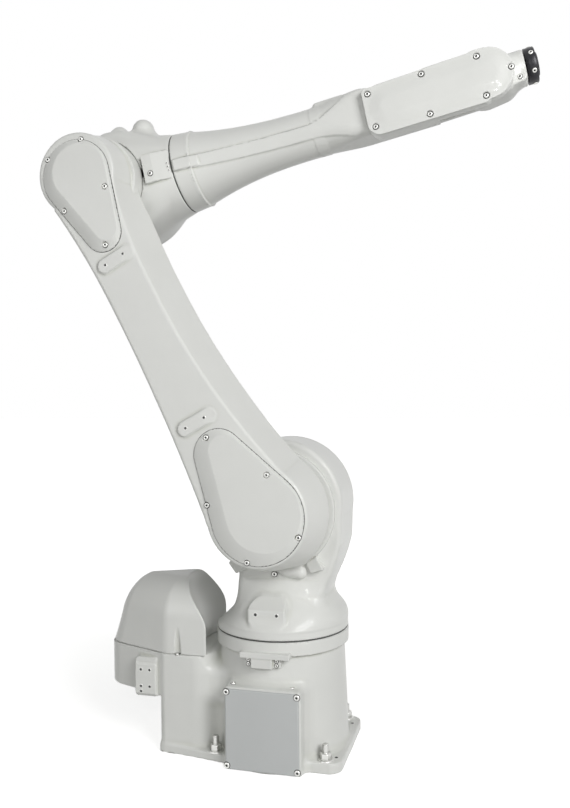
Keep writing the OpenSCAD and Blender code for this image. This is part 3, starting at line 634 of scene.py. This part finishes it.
def turret_field(x, y, z):
    """Bell that sweeps in to the neck, with a full shoulder ahead, and the hub over it."""
    swept = (1 - clamp((z - SWEEP_Z) / SWEEP_RISE)) ** SWEEP_POWER
    full = (1 - clamp((z - FULL_Z) / FULL_RISE) ** FULL_POWERS[0]) ** FULL_POWERS[1]
    ahead = ease(x / AHEAD_BLEND + 0.5)
    neck_x = NECK_REAR + (NECK_FRONT - NECK_REAR) * ahead
    half_x = neck_x + (BELL_R - neck_x) * (swept + (full - swept) * ahead)
    half_y = NECK_Y + (BELL_R - NECK_Y) * (1 - clamp((z - SIDE_Z) / SIDE_RISE)) ** SIDE_POWER
    power = 2 + SQUARE_GAIN * clamp((z - SQUARE_Z) / SQUARE_RISE)
    section = ((np.abs(x) / half_x) ** power + (np.abs(y) / half_y) ** power) ** (1 / power) - 1
    bell = meet(section * 0.75 * half_y, band(z, SEAM_Z + SEAM / 2, SHOULDER_Z), 2)
    pad_face = BELL_PAD_FACE + BELL_PAD_SLOPE * np.maximum(z - BELL_PAD_TOP, 0)
    pad = meet(rect(x, z, *BELL_PAD, BELL_PAD_R), (pad_face - y) * 0.75, 2)
    pad = np.maximum(pad, y + 50)
    skirt = polygon(x, z, np.array(SKIRT + REAR_SKIRT))
    hub = meet(np.minimum(disc(x, z, *HUB), skirt), band(y, HUB_NEAR, HUB_FAR), 9)
    return join(join(bell, hub, 20), pad, 8)


EAR = np.array([(-52, 388), (-84, 362), (-72, 346), (-36, 362)])
WEDGE = np.array([(66, 368), (84, 381), (97, 359), (74, 351)])
WEDGE_PROUD, WEDGE_SLOPE = 4.0, 0.25
LUMP = (26, -60, 352), (52, -62, 350), 13.0


def shoulder_ring_field(x, y, z):
    """Bearing ring on the hub's near side, with a stop ear behind and a stop lump and wedge ahead."""
    ring = meet(disc(x, z, FLANGE_AT, FLANGE_R), band(y, FLANGE_FACE, HUB_NEAR + 2), 3)
    ear = meet(polygon(x, z, EAR) - 3, band(y, FLANGE_FACE, HUB_NEAR), 4)
    wedge_face = FLANGE_FACE - WEDGE_PROUD + WEDGE_SLOPE * (WEDGE[1, 0] - x)
    wedge = meet(polygon(x, z, WEDGE) - 1, wedge_face - y, 1.2)
    wedge = np.maximum(wedge, y - HUB_NEAR)
    lump = np.maximum(capsule(x, y, z, *LUMP), y - HUB_NEAR)
    return np.minimum(join(join(ring, ear, 5), lump, 5), wedge)


def make_turret():
    casting("turret_body", "turret", turret_field, (-HUB_R - 8, -134, SEAM_Z - 4),
            (HUB_R + 8, 134, SHOULDER_Z + HUB_R + 6), 3.5, replaces=("turret_bell", "shoulder_hub"))
    lowest = (-FLANGE_R - 5, FLANGE_FACE - 8, SHOULDER_Z - 145)
    highest = (FLANGE_R + 5, HUB_NEAR + 4, SHOULDER_Z + FLANGE_R + 5)
    casting("shoulder_ring", "turret", shoulder_ring_field, lowest, highest, 2.4,
            replaces=("shoulder_flange", "shoulder_stops"))
    points, faces = lathe(bevelled(MOTOR_R, MOTOR_FACE - HUB_FAR, 8), (0, HUB_FAR, SHOULDER_Z), (0, 1, 0))
    piece("shoulder_motor_cap", "turret", PAINT, points, faces, replaces=("shoulder_motor_cover",))
    bits = Bits()
    for x, z in BELL_HOLES:
        add_hole(bits, (x, BELL_PAD_FACE, z), (0, -1, 0), 2.8)
    add_screw(bits, HUB_SCREW, (0, -1, 0), 4.8)
    bits.made("bell_holes", "turret", STEEL_AND_SHADE)


make_turret()


# Lower arm: waisted casting, domed covers at both ends and two screw pads

ARM_FACE, ARM_INNER, ARM_SEAT = -165.0, -90.0, -72.0
LOW_DRAFT, FRONT_DRAFT, REAR_DRAFT, HIGH_DRAFT = 26.0, 31.0, 18.0, 12.0
LOW_R, HIGH_R = 92.5, 76.5
LOW_AT, HIGH_AT = (-2.0, 2.0), (-4.0, ARM_LEN + 5)
LOW_SEAT_R, HIGH_SEAT_R = 104.0, 88.0
FRONT_WAIST, FRONT_WAIST_AT, FRONT_START, FRONT_LOW_HALF = 26.5, 412.0, 40.0, 93.7
REAR_WAIST, REAR_WAIST_AT, REAR_START = 62.0, 491.0, 32.0
SIDES_END = ARM_LEN - 30
DRAFT_FULL_AT, DRAFT_FADES_AT, DRAFT_FADE = 300.0, 560.0, 150.0
LOW_COVER = ((0, 0), 86.0, (-9, 130), 47.0)
HIGH_COVER = ((-5, ARM_LEN), 67.5, (-9, ARM_LEN - 120), 37.0)
COVER_RIM, COVER_DOME = 2.0, ARM_FACE - low("arm_lower_cover", "y")
LOW_TOP, HIGH_TOP = (16.0, 18.0), (12.0, 15.0)
COVER_FALL, FLANK_POWER = 0.6, 1.15
LOW_PAD, HIGH_PAD = (-57, 22, 201.0), (-50, 26, 538.0)
PAD_R, PAD_RISE, PAD_FALL = 13.0, ARM_FACE - low("arm_lower_pad", "y"), 26.0
PAD_HOLES = (17, 57)
LOW_SCREWS = ((-13.6, 167.7), (54.3, 57.3), (-72, 61.7), (51.6, -64.3), (-54.2, -61.5))
HIGH_SCREWS = ((36.6, 768.5), (-39.4, 773), (37.2, 663.2), (-55.5, 668.8), (-14, 569.5))
SCREW_SEAT_R = 6.0


def waisted(along, at, half, low_end, high_end, power):
    """Half width that swells from a waist to the arm's two ends."""
    below = (low_end - half) * clamp((at - along) / at, 0, 2) ** 2
    above = (high_end - half) * clamp((along - at) / (ARM_LEN - at), 0, 2) ** power
    return half + below + above


def arm_outline(x, z):
    """Outline of the arm's face: waisted sides between two round ends."""
    front = x - waisted(z, FRONT_WAIST_AT, FRONT_WAIST, FRONT_LOW_HALF, HIGH_R + HIGH_AT[0], 3)
    rear = -x - waisted(z, REAR_WAIST_AT, REAR_WAIST, LOW_R - LOW_AT[0], HIGH_R - HIGH_AT[0], 2)
    start = np.where(x > 0, FRONT_START, REAR_START)
    body = np.maximum(np.maximum(front, rear), band(z, start, SIDES_END))
    ends = np.minimum(disc(x, z, LOW_AT, LOW_R), disc(x, z, HIGH_AT, HIGH_R))
    return join(body, ends, 5)


def arm_field(x, y, z):
    """Arm whose walls lean out towards the inner side, less so near the elbow, with its seats and pads."""
    front = LOW_DRAFT + (FRONT_DRAFT - LOW_DRAFT) * ease(z / DRAFT_FULL_AT)
    draft = REAR_DRAFT + (front - REAR_DRAFT) * ease(x / AHEAD_BLEND + 0.5)
    draft = draft + (HIGH_DRAFT - draft) * ease((z - DRAFT_FADES_AT) / DRAFT_FADE)
    grow = draft * clamp((y - ARM_FACE) / (ARM_INNER - ARM_FACE))
    body = meet(arm_outline(x, z) - grow, band(y, ARM_FACE, ARM_INNER), 5)
    seats = np.minimum(disc(x, z, (0, 0), LOW_SEAT_R), disc(x, z, (0, ARM_LEN), HIGH_SEAT_R))
    solid = join(body, meet(seats, band(y, ARM_INNER - 20, ARM_SEAT), 2), 4)
    for left, right, at in (LOW_PAD, HIGH_PAD):
        plan = rect(x, z, (left, at - PAD_R), (right, at + PAD_R), PAD_R)
        fall = PAD_RISE * ease((x - right + PAD_FALL) / PAD_FALL)
        solid = join(solid, meet(plan, band(y, ARM_FACE - PAD_RISE + fall, ARM_FACE + 20), 2), 4)
    return solid


def belt(u, v, start, r, end, s):
    """Signed distance to a belt round two circles."""
    line = np.subtract(end, start)
    length = np.hypot(*line)
    along = ((u - start[0]) * line[0] + (v - start[1]) * line[1]) / length
    aside = np.abs((u - start[0]) * line[1] - (v - start[1]) * line[0]) / length
    lean = (r - s) / length
    square = np.sqrt(1 - lean * lean)
    k = square * along - lean * aside
    middle = square * aside + lean * along - r
    return np.where(k < 0, np.hypot(along, aside) - r,
                    np.where(k > square * length, np.hypot(along - length, aside) - s, middle))


def cover_rise(u, v, outline, top):
    """Height of a cover over the arm's face: a broad top set to the front, a flank wider to the rear."""
    (u0, v0), r, (u1, v1), s = outline
    shift, shrink = top
    inner = np.maximum(belt(u, v, (u0 + shift, v0), r - shrink, (u1 + shift, v1), s - shrink), 0)
    outer = np.maximum(-belt(u, v, *outline), 0)
    share = inner / np.maximum(inner + outer, 1e-6)
    fall = 1 - COVER_FALL * clamp((u - u0 + r) / (2 * r))
    return COVER_RIM + (COVER_DOME - COVER_RIM) * (1 - share ** FLANK_POWER) * fall


def arm_cover_field(outline, top, screws):
    """Field of a domed cover with a round seat for each screw, and the seats' places."""
    seats = [(u, v, float(cover_rise(u, v, outline, top)) - 1.5) for u, v in screws]

    def field(x, y, z):
        solid = meet(belt(x, z, *outline), ARM_FACE - cover_rise(x, z, outline, top) - y, 1.2)
        for u, v, height in seats:
            bore = np.maximum(disc(x, z, (u, v), SCREW_SEAT_R), y - ARM_FACE + height)
            solid = cut(solid, bore, 0.5)
        return meet(solid, y - ARM_FACE, 0.5)
    return field, seats


def belt_ring(outline, grow, around=160):
    """Points round a belt's outline, moved outwards by grow."""
    (u0, v0), r, (u1, v1), s = outline
    line = np.array((u1 - u0, v1 - v0), float)
    length = np.hypot(*line)
    along = line / length
    aside = np.array((-along[1], along[0]))
    tilt = np.arccos((r - s) / length)
    ring = []
    for a in np.linspace(tilt, tau - tilt, around // 2):
        ring.append(np.array((u0, v0)) + (r + grow) * (cos(a) * along + sin(a) * aside))
    for a in np.linspace(-tilt, tilt, around // 2):
        ring.append(np.array((u1, v1)) + (s + grow) * (cos(a) * along + sin(a) * aside))
    return np.array(ring)


def make_gasket(name, body, outline, face, place):
    """A thin dark line of sealing round a cover's foot, which also paints the shade of the gap there."""
    levels = ((-0.8, 0.5), (0.4, 0.5), (0.6, 0.2), (0.7, -0.5))
    rings = [belt_ring(outline, grow) for grow, _ in levels]
    points = np.concatenate([np.stack([ring[:, 0], np.full(len(ring), face - h), ring[:, 1]], 1)
                             for ring, (_, h) in zip(rings, levels)])
    piece(name, body, SEAL_AND_SEAM_SHADE, points, rings_to_faces(len(levels), len(rings[0])), place)


def make_lower_arm():
    casting("arm_body", "lower_arm", arm_field, (-LOW_SEAT_R - 16, ARM_FACE - 8, -LOW_SEAT_R - 24),
            (LOW_SEAT_R + 24, ARM_SEAT + 6, ARM_LEN + HIGH_SEAT_R + 8), 3.0, ARM,
            replaces=("arm_casting", "arm_lower_pad", "arm_upper_pad"))
    for name, outline, top, screws in (("lower", LOW_COVER, LOW_TOP, LOW_SCREWS),
                                       ("upper", HIGH_COVER, HIGH_TOP, HIGH_SCREWS)):
        (u0, v0), r, (u1, v1), s = outline
        lowest = (min(u0 - r, u1 - s) - 5, ARM_FACE - COVER_DOME - 5, min(v0 - r, v1 - s) - 5)
        highest = (max(u0 + r, u1 + s) + 5, ARM_FACE + 5, max(v0 + r, v1 + s) + 5)
        field, seats = arm_cover_field(outline, top, screws)
        casting(f"{name}_dome", "lower_arm", field, lowest, highest, 2.2, ARM,
                replaces=(f"arm_{name}_cover",))
        # Dark line of sealing round the cover's foot, partly painted shade of the gap.
        make_gasket(f"{name}_gasket_and_gap_shade", "lower_arm", outline, ARM_FACE, ARM)
        bits = Bits()
        for u, v, height in seats:
            add_screw(bits, (u, ARM_FACE - height, v), (0, -1, 0))
        bits.made(f"{name}_dome_screws", "lower_arm", STEEL_AND_SHADE, ARM)
    bits = Bits()
    for left, right, at in (LOW_PAD, HIGH_PAD):
        for u in PAD_HOLES:
            add_hole(bits, (left + u, ARM_FACE - PAD_RISE, at), (0, -1, 0))
    bits.made("arm_pad_holes", "lower_arm", STEEL_AND_SHADE, ARM)


make_lower_arm()


# Elbow: drum on the arm's axis, tapering to the roll bearing

ELBOW_R, ELBOW_S, ELBOW_NEAR, ELBOW_FAR = 107.5, 23.0, -60.0, 76.0
CONE_S, CONE_R, ROLL_R, CONE_NEAR = 60.0, 102.0, 78.0, -78.0
ELBOW_CAP_R, ELBOW_CAP_DEPTH = 90.0, 16.0
REAR_LUG, FRONT_LUG = ((33, -10, 130), 19.0), ((87, -14, 127), 22.0)
SIDE_PAD, SIDE_PAD_FACE, SIDE_PAD_FLAT, SIDE_PAD_LEAN = ((95, -26), (150, 30)), -86.0, 117.0, 0.32
INDEX_DOTS = ((144.0, 3), (144.8, -4), (145.2, -11))
SIDE_SLOT, SIDE_SLOT_FLOOR = ((91, -21), (95.5, 27)), -62.0
SIDE_SCREW = (110, SIDE_PAD_FACE, -9)
SEAT_GAP, SEAT_DEPTH = 0.9, 2.5


def elbow_field(x, y, z):
    """Drum and cone, two lugs on top, and a raised pad with a slot beside it."""
    drum = meet(disc(x, z, (ELBOW_S, 0), ELBOW_R), band(y, ELBOW_NEAR, ELBOW_FAR), 14)
    cone_r = CONE_R + (ROLL_R - CONE_R) * (x - CONE_S) / (ROLL_S - CONE_S)
    cone = meet(np.hypot(y, z) - cone_r, band(x, 20, ROLL_S - SEAM / 2), 1.5)
    cone = meet(cone, band(y, CONE_NEAR, ELBOW_FAR), 6)
    solid = join(drum, cone, 18)
    for (s, across, top), r in (REAR_LUG, FRONT_LUG):
        lug = capsule(x, y, z, (s, across, 40), (s, across, top - r), r)
        solid = join(solid, lug, 16)
    pad_face = SIDE_PAD_FACE + SIDE_PAD_LEAN * np.maximum(x - SIDE_PAD_FLAT, 0)
    pad = meet(rect(x, z, *SIDE_PAD, 2), pad_face - y, 1.5)
    solid = np.minimum(solid, np.maximum(pad, y + 40))
    near_cut = np.maximum(np.hypot(x, z) - HIGH_SEAT_R - SEAT_GAP, y - ARM_SEAT - SEAT_DEPTH)
    seat = meet(disc(x, z, (0, 0), HIGH_SEAT_R - 3), band(y, ARM_SEAT + 1, 0), 2)
    solid = join(cut(solid, near_cut, 0.6), seat, 1)
    return cut(solid, np.maximum(rect(x, z, *SIDE_SLOT, 3), y - SIDE_SLOT_FLOOR), 0.8)


def make_elbow():
    casting("elbow_body", "elbow", elbow_field, (-100, -94, -122), (ROLL_S + 5, 92, 142), 3.0, FOREARM,
            replaces=("elbow_housing", "elbow_side_pad"))
    points, faces = lathe(bevelled(ELBOW_CAP_R, ELBOW_CAP_DEPTH, 8), (0, ELBOW_FAR, 0), (0, 1, 0))
    piece("elbow_motor_cap", "elbow", PAINT, points, faces, FOREARM, replaces=("elbow_motor_cover",))
    bits = Bits()
    add_screw(bits, SIDE_SCREW, (0, -1, 0), 4.8)
    for s, n in INDEX_DOTS:
        across = -np.sqrt((ROLL_R + 1.2) ** 2 - n * n)
        add_hole(bits, (s, across, n), (0, across, n), 1.1)
    bits.made("side_pad_screw", "elbow", STEEL_AND_SHADE, FOREARM)
    # Dark ring in the roll seam: partly a seal, partly painted shade of the gap.
    make_seal_with_seam_shade("roll_seal_and_shade", "elbow", (ROLL_S, 0, 0), (1, 0, 0), ROLL_R - 12, ROLL_R - 1.4, SEAM, FOREARM)


make_elbow()


# Forearm: collar, tapering tube, square head, belt-drive fork and covers

COLLAR_END, TUBE_END, TUBE_R = 188.0, 425.0, 46.0
COLLAR_R, COLLAR_TAPER, TUBE_FOOT_R = 78.0, 4.0, 72.5
TUBE_RISE = 1.0
HEAD_HALF_Y, HEAD_HALF_Z, HEAD_RISE, HEAD_FALL = 46.0, 45.0, 1.0, 18.0
HEAD_LEN, HEAD_ROUND, HEAD_CORNER = 100.0, 45.0, 18.0
HEAD_STEP, HEAD_STEP_HALF = ((433, 0), (496, 49.0)), 26.0
STRIP_START, STRIP_END, STRIP_BLOCK, FLARE_END = 155.0, 540.0, 205.0, 500.0
STRIP_N, STRIP_DROP, STRIP_HALF, STRIP_GROWTH, STRIP_RISE = 5.5, 5.0, 11.5, 1.5, 2.2
FLARE_LIFT, FLARE_WIDTH, FLARE_SINK = 9.0, 26.0, 1.2
FORK_ROOT, FORK_GAP, FORK_Y = 655.0, 38.0, 58.0
CASE_S, CASE_LOW, CASE_HIGH, CASE_CHAMFER = 529.0, -60.0, 33.2, 15.0
CASE_SLOPE, CASE_END, CASE_END_R = 0.025, (WRIST_S + 5, -10), 46.0
CASE_RAISED, CASE_RAISE, CASE_BLEND = ((575, -13), 26, (WRIST_S + 8, -11), 26), 3.0, 26.0
CASE_SEAT = 4.5
CASE_DEEP, CASE_DEEP_END = -24.0, 655.0
CASE_SCREWS = ((541, 19), (543, -43), (641, 24), (641, -50), (739, 24), (741, -48), (792, -12))
FAR_ARM = ((FORK_ROOT - 60, 0), 36.0, (WRIST_S, 0), 33.0)
FAR_PLATE = ((FORK_ROOT - 58, 0), 31.0, (WRIST_S, 0), 28.0)
FAR_SCREWS = [(s, n) for s in (FORK_ROOT - 40, WRIST_S + 8) for n in (-19, 19)]
WRIST_R, NECK_END_R = 42.0, 32.0
BELT_FACE, FAR_FACE = low("belt_cover_near", "y"), high("belt_cover_far", "y")


def tube_r(s):
    return TUBE_R + (TUBE_FOOT_R - TUBE_R) * clamp((TUBE_END - s) / (TUBE_END - COLLAR_END)) ** 2.4


def forearm_field(x, y, z):
    """Collar with a bead, tube with a cable strip along its near side, and a square head."""
    share = clamp((TUBE_END - x) / (TUBE_END - COLLAR_END))
    radial = np.hypot(y, z - TUBE_RISE * 4 * share * (1 - share))
    tube = meet((radial - tube_r(x)) * 0.97, band(x, COLLAR_END - 10, TUBE_END + 20), 1)
    taper = clamp((x - ROLL_S) / (COLLAR_END - ROLL_S))
    collar_r = COLLAR_R - COLLAR_TAPER * taper
    collar = meet(radial - collar_r, band(x, ROLL_S + SEAM / 2, COLLAR_END), 2)
    bead = np.hypot(x - COLLAR_END + 1.5, radial - collar_r + 0.3) - 1.5
    square = ease((x - TUBE_END) / HEAD_LEN)
    corner = HEAD_ROUND + (HEAD_CORNER - HEAD_ROUND) * square
    dy = np.abs(y) - HEAD_HALF_Y + corner
    dz = np.abs(z - HEAD_RISE * square) - HEAD_HALF_Z + corner
    section = np.minimum(np.maximum(dy, dz), 0) + np.hypot(np.maximum(dy, 0), np.maximum(dz, 0)) - corner
    head_top = HEAD_HALF_Z + HEAD_RISE - HEAD_FALL * ease((x - CASE_S + 10) / 40)
    head = meet(meet(section, band(x, TUBE_END, FORK_ROOT), 2), z - head_top, 6)
    step = meet(rect(x, z, *HEAD_STEP, 6), np.abs(y) - HEAD_STEP_HALF, 8)
    skin = np.where(x < TUBE_END, radial - np.where(x < COLLAR_END, collar_r, tube_r(x)), section)
    along = clamp((x - STRIP_START) / (TUBE_END - STRIP_START))
    flare = clamp((x - TUBE_END) / (FLARE_END - TUBE_END))
    middle = z + STRIP_N + STRIP_DROP * along - FLARE_LIFT * flare
    width = np.abs(middle) - STRIP_HALF - STRIP_GROWTH * along - FLARE_WIDTH * flare ** 1.5
    strip = meet(skin - STRIP_RISE + FLARE_SINK * flare, width, 1)
    strip = np.maximum(np.maximum(strip, y), band(x, STRIP_START, STRIP_END))
    block = meet(skin - 5, width + 1, 1.5)
    block = meet(np.maximum(block, y), band(x, STRIP_START, STRIP_BLOCK), 2)
    tube = join(join(tube, np.minimum(collar, bead), 2), np.minimum(strip, block), 1.5)
    return join(join(tube, head, 3), step, 6)


def case_outline(x, z):
    """Side view of the near fork arm and its cover, with a sloping top, a chamfer and a round end."""
    top = CASE_HIGH + CASE_SLOPE * (x - CASE_S - 100)
    body = meet(band(x, CASE_S, WRIST_S), np.maximum(z - top, CASE_LOW - z), 7)
    body = meet(body, (CASE_CHAMFER - (x - CASE_S) - (z - CASE_LOW)) * 0.7071, 4)
    return join(body, disc(x, z, CASE_END, CASE_END_R), 6)


def fork_field(x, y, z):
    """Near arm with a deeper root, and the far arm."""
    plan = case_outline(x, z)
    near = meet(plan, band(y, -FORK_Y, -FORK_GAP), 3)
    deep = meet(np.maximum(plan, band(x, CASE_S, CASE_DEEP_END)), band(y, -FORK_Y, CASE_DEEP), 2)
    far = meet(belt(x, z, *FAR_ARM), band(y, FORK_GAP, FORK_Y), 6)
    return np.minimum(np.minimum(near, deep), far)


def belt_cover_field(x, y, z):
    """Near cover with a low raised middle and a round seat for each screw."""
    plan = case_outline(x, z)
    raised = CASE_RAISE * ease(0.5 - belt(x, z, *CASE_RAISED) / CASE_BLEND)
    cover = meet(plan + 0.5, BELT_FACE + CASE_RAISE - raised - y, 1.2)
    for s, n in CASE_SCREWS:
        cover = cut(cover, np.maximum(disc(x, z, (s, n), SCREW_SEAT_R), y - BELT_FACE - CASE_SEAT), 0.5)
    return np.maximum(cover, y + FORK_Y)


def far_cover_field(x, y, z):
    """Plain cover on the far arm."""
    return meet(belt(x, z, *FAR_PLATE), band(y, FORK_Y, FAR_FACE), 3)


def make_forearm():
    casting("forearm_body", "forearm", forearm_field, (ROLL_S - 5, -88, -88), (FORK_ROOT + 6, 88, 88), 2.8,
            FOREARM, replaces=("forearm_collar", "forearm_tube", "forearm_head"))
    casting("fork_body", "forearm", fork_field, (CASE_S - 6, -FORK_Y - 5, CASE_LOW - 6),
            (WRIST_S + 64, FORK_Y + 5, 52), 3.0, FOREARM, replaces=("fork_arm_near", "fork_arm_far"))
    casting("belt_plate", "forearm", belt_cover_field, (CASE_S - 6, BELT_FACE - 5, CASE_LOW - 6),
            (WRIST_S + 64, -FORK_Y + 5, 46), 2.2, FOREARM, replaces=("belt_cover_near",))
    casting("far_plate", "forearm", far_cover_field, (FORK_ROOT - 96, FORK_Y - 5, -40),
            (WRIST_S + 36, FAR_FACE + 5, 40), 2.4, FOREARM, replaces=("belt_cover_far",))
    bits = Bits()
    for s, n in CASE_SCREWS:
        add_screw(bits, (s, BELT_FACE + CASE_SEAT, n), (0, -1, 0), 4.4)
    bits.made("case_screws", "forearm", STEEL_AND_SHADE, FOREARM)
    bits = Bits()
    for s, n in FAR_SCREWS:
        add_screw(bits, (s, FAR_FACE, n), (0, 1, 0), 3.6)
    bits.made("far_plate_screws", "forearm", STEEL_AND_SHADE, FOREARM)


make_forearm()


# Wrist and tool flange

WRIST_LOBE = ((WRIST_S, -2), WRIST_R + 2, (WRIST_S + 29, -11), 31.5)
NECK_BOSS = ((WRIST_S + 50, -24), 11.0, (WRIST_S + 62, -23), 10.0)
NECK_BOSS_FACE = -33.0
NECK_SCREW = (WRIST_S + 59, NECK_BOSS_FACE, -24)
FLANGE_START, FLANGE_BOLTS = TOOL_S + SEAM / 2, 6
RIM_R, RIM_S, FACE_R, FACE_S = 31.2, 11.0, 25.2, 18.0
FLANGE_PROFILE = [(31.5, 0), (31.5, 16.5), (30, FACE_S), (20.5, FACE_S), (20.5, 20.4), (19.9, 21), (15.8, 21),
                  (15.8, 13)]


def wrist_field(x, y, z):
    """Drum on the bending axis with a neck, filled out below, and a boss on its near side."""
    drum = meet(belt(x, z, *WRIST_LOBE), np.abs(y) - FORK_GAP + 1, 12)
    neck = meet(np.hypot(y, z) - NECK_END_R, band(x, WRIST_S, TOOL_S - SEAM / 2), 2)
    boss = meet(belt(x, z, *NECK_BOSS), band(y, NECK_BOSS_FACE, 0), 2)
    return join(join(drum, neck, 14), boss, 3)


def make_wrist():
    casting("wrist_casting", "wrist", wrist_field, (WRIST_S - 54, -44, -54), (TOOL_S + 4, 44, 54), 2.4,
            FOREARM, replaces=("wrist_body", "wrist_neck"))
    bits = Bits()
    add_screw(bits, NECK_SCREW, (0, -1, 0), 4.2)
    bits.made("neck_screw", "wrist", STEEL_AND_SHADE, FOREARM)
    points, faces = lathe(FLANGE_PROFILE, (FLANGE_START, 0, 0), (1, 0, 0))
    piece("flange_disc", "flange", BLACK, points, faces, FOREARM,
          replaces=("tool_flange",))
    bits = Bits()
    for i in range(FLANGE_BOLTS):
        a = (i + 0.4) * tau / FLANGE_BOLTS
        out = np.array((0, -cos(a), sin(a)))
        add_screw(bits, np.array((FLANGE_START + RIM_S, 0, 0)) + RIM_R * out, out, 4.2)
        add_hole(bits, np.array((FLANGE_START + FACE_S, 0, 0)) + FACE_R * out, (1, 0, 0), 2.2)
    bits.made("flange_screws", "flange", STEEL_AND_SHADE, FOREARM, slot="black_steel")


make_wrist()


# Floor, light and camera

def seen_rays(tree):
    """1 for rays from the camera and for those mirrored or passed on to it, else 0."""
    path = node(tree, "ShaderNodeLightPath")
    total = path.outputs["Is Camera Ray"]
    for name in ("Is Glossy Ray", "Is Transmission Ray"):
        more = node(tree, "ShaderNodeMath", {0: total, 1: path.outputs[name]}, operation="MAXIMUM")
        total = more.outputs[0]
    return total


def make_stage():
    """A wide pale floor that keeps the arm's soft shadow and is seen as white further out."""
    bpy.ops.mesh.primitive_plane_add(size=40, location=(0, 0, -0.0005))
    floor = bpy.context.object
    floor.name = "floor"
    material = bpy.data.materials.new("floor_white")
    material.use_nodes = True
    tree = material.node_tree
    shader = tree.nodes["Principled BSDF"]
    feed(tree, shader, {"Base Color": (0.7, 0.7, 0.69, 1), "Roughness": 0.9})
    where = node(tree, "ShaderNodeTexCoord").outputs["Object"]
    far = node(tree, "ShaderNodeVectorMath", {0: where}, operation="LENGTH").outputs["Value"]
    level = node(tree, "ShaderNodeMapRange",
                 {"Value": far, "From Min": 0.4, "From Max": 1.8, "To Min": 0.76, "To Max": 1.0})
    level = level.outputs["Result"]
    seen = node(tree, "ShaderNodeMath", {0: seen_rays(tree), 1: level}, operation="MULTIPLY")
    glow = node(tree, "ShaderNodeEmission", {"Color": (1, 1, 1, 1), "Strength": seen.outputs[0]})
    both = node(tree, "ShaderNodeAddShader", {0: shader.outputs[0], 1: glow.outputs[0]})
    feed(tree, tree.nodes["Material Output"], {"Surface": both.outputs[0]})
    floor.data.materials.append(material)


def area_light(name, at, target, size, watts):
    """A square lamp that faces its target; places and size in metres."""
    light = bpy.data.lights.new(name, "AREA")
    light.shape = "SQUARE"
    light.size = size
    light.energy = watts
    obj = bpy.data.objects.new(name, light)
    obj.location = at
    obj.rotation_euler = (Vector(target) - Vector(at)).to_track_quat("-Z", "Y").to_euler()
    bpy.context.scene.collection.objects.link(obj)


def make_light():
    """Soft lamps, the stronger from the right and above, in a dim room that is seen as white."""
    world = bpy.data.worlds.new("studio")
    bpy.context.scene.world = world
    world.use_nodes = True
    tree = world.node_tree
    tree.nodes.clear()
    dim = node(tree, "ShaderNodeBackground", {"Color": (0.95, 0.97, 0.92, 1), "Strength": 0.1})
    white = node(tree, "ShaderNodeBackground", {"Color": (1, 1, 1, 1), "Strength": 1.0})
    mix = node(tree, "ShaderNodeMixShader", {"Fac": seen_rays(tree), 1: dim.outputs[0], 2: white.outputs[0]})
    node(tree, "ShaderNodeOutputWorld", {"Surface": mix.outputs[0]})
    middle = (0, 0, 0.7)
    area_light("right_softbox", (2.2, -2.06, 1.95), middle, 1.5, 68)
    area_light("left_softbox", (-1.6, -2.75, 1.2), middle, 1.5, 13)
    for side in (-1, 1):
        area_light(f"lamp_{side}", (0.75 + 0.14 * side, -2.6, 1.5), (0, 0, 0.5), 0.11, 3.5)


FOCAL_PX, IMAGE_H, SENSOR = 820.0, 808.0, 36.0
CAMERA_DISTANCE, CAMERA_SHIFT, CAMERA_HEIGHT = 1598.7, 8.4, 682.3
CAMERA_YAW, CAMERA_TILT, CAMERA_ROLL = radians(15.2), radians(0.7), radians(-0.6)


def make_camera():
    """The photograph's view: distance, height, yaw, tilt and roll of its camera."""
    right = np.array((cos(CAMERA_YAW), sin(CAMERA_YAW), 0))
    ahead = np.array((-sin(CAMERA_YAW), cos(CAMERA_YAW), 0))
    up = np.array((0, 0, 1.0))
    at = -ahead * CAMERA_DISTANCE + right * CAMERA_SHIFT + up * CAMERA_HEIGHT
    look = ahead * cos(CAMERA_TILT) - up * sin(CAMERA_TILT)
    top = up * cos(CAMERA_TILT) + ahead * sin(CAMERA_TILT)
    side = right * cos(CAMERA_ROLL) + top * sin(CAMERA_ROLL)
    top = top * cos(CAMERA_ROLL) - right * sin(CAMERA_ROLL)
    data = bpy.data.cameras.new("camera")
    data.sensor_width = SENSOR
    data.lens = FOCAL_PX / IMAGE_H * SENSOR
    obj = bpy.data.objects.new("camera", data)
    bpy.context.scene.collection.objects.link(obj)
    turn = Matrix((side, top, -look)).transposed().to_4x4()
    obj.matrix_world = Matrix.Translation(Vector(at * MM)) @ turn
    bpy.context.scene.camera = obj


make_stage()
make_light()
make_camera()
bpy.context.scene.view_settings.view_transform = "Standard"
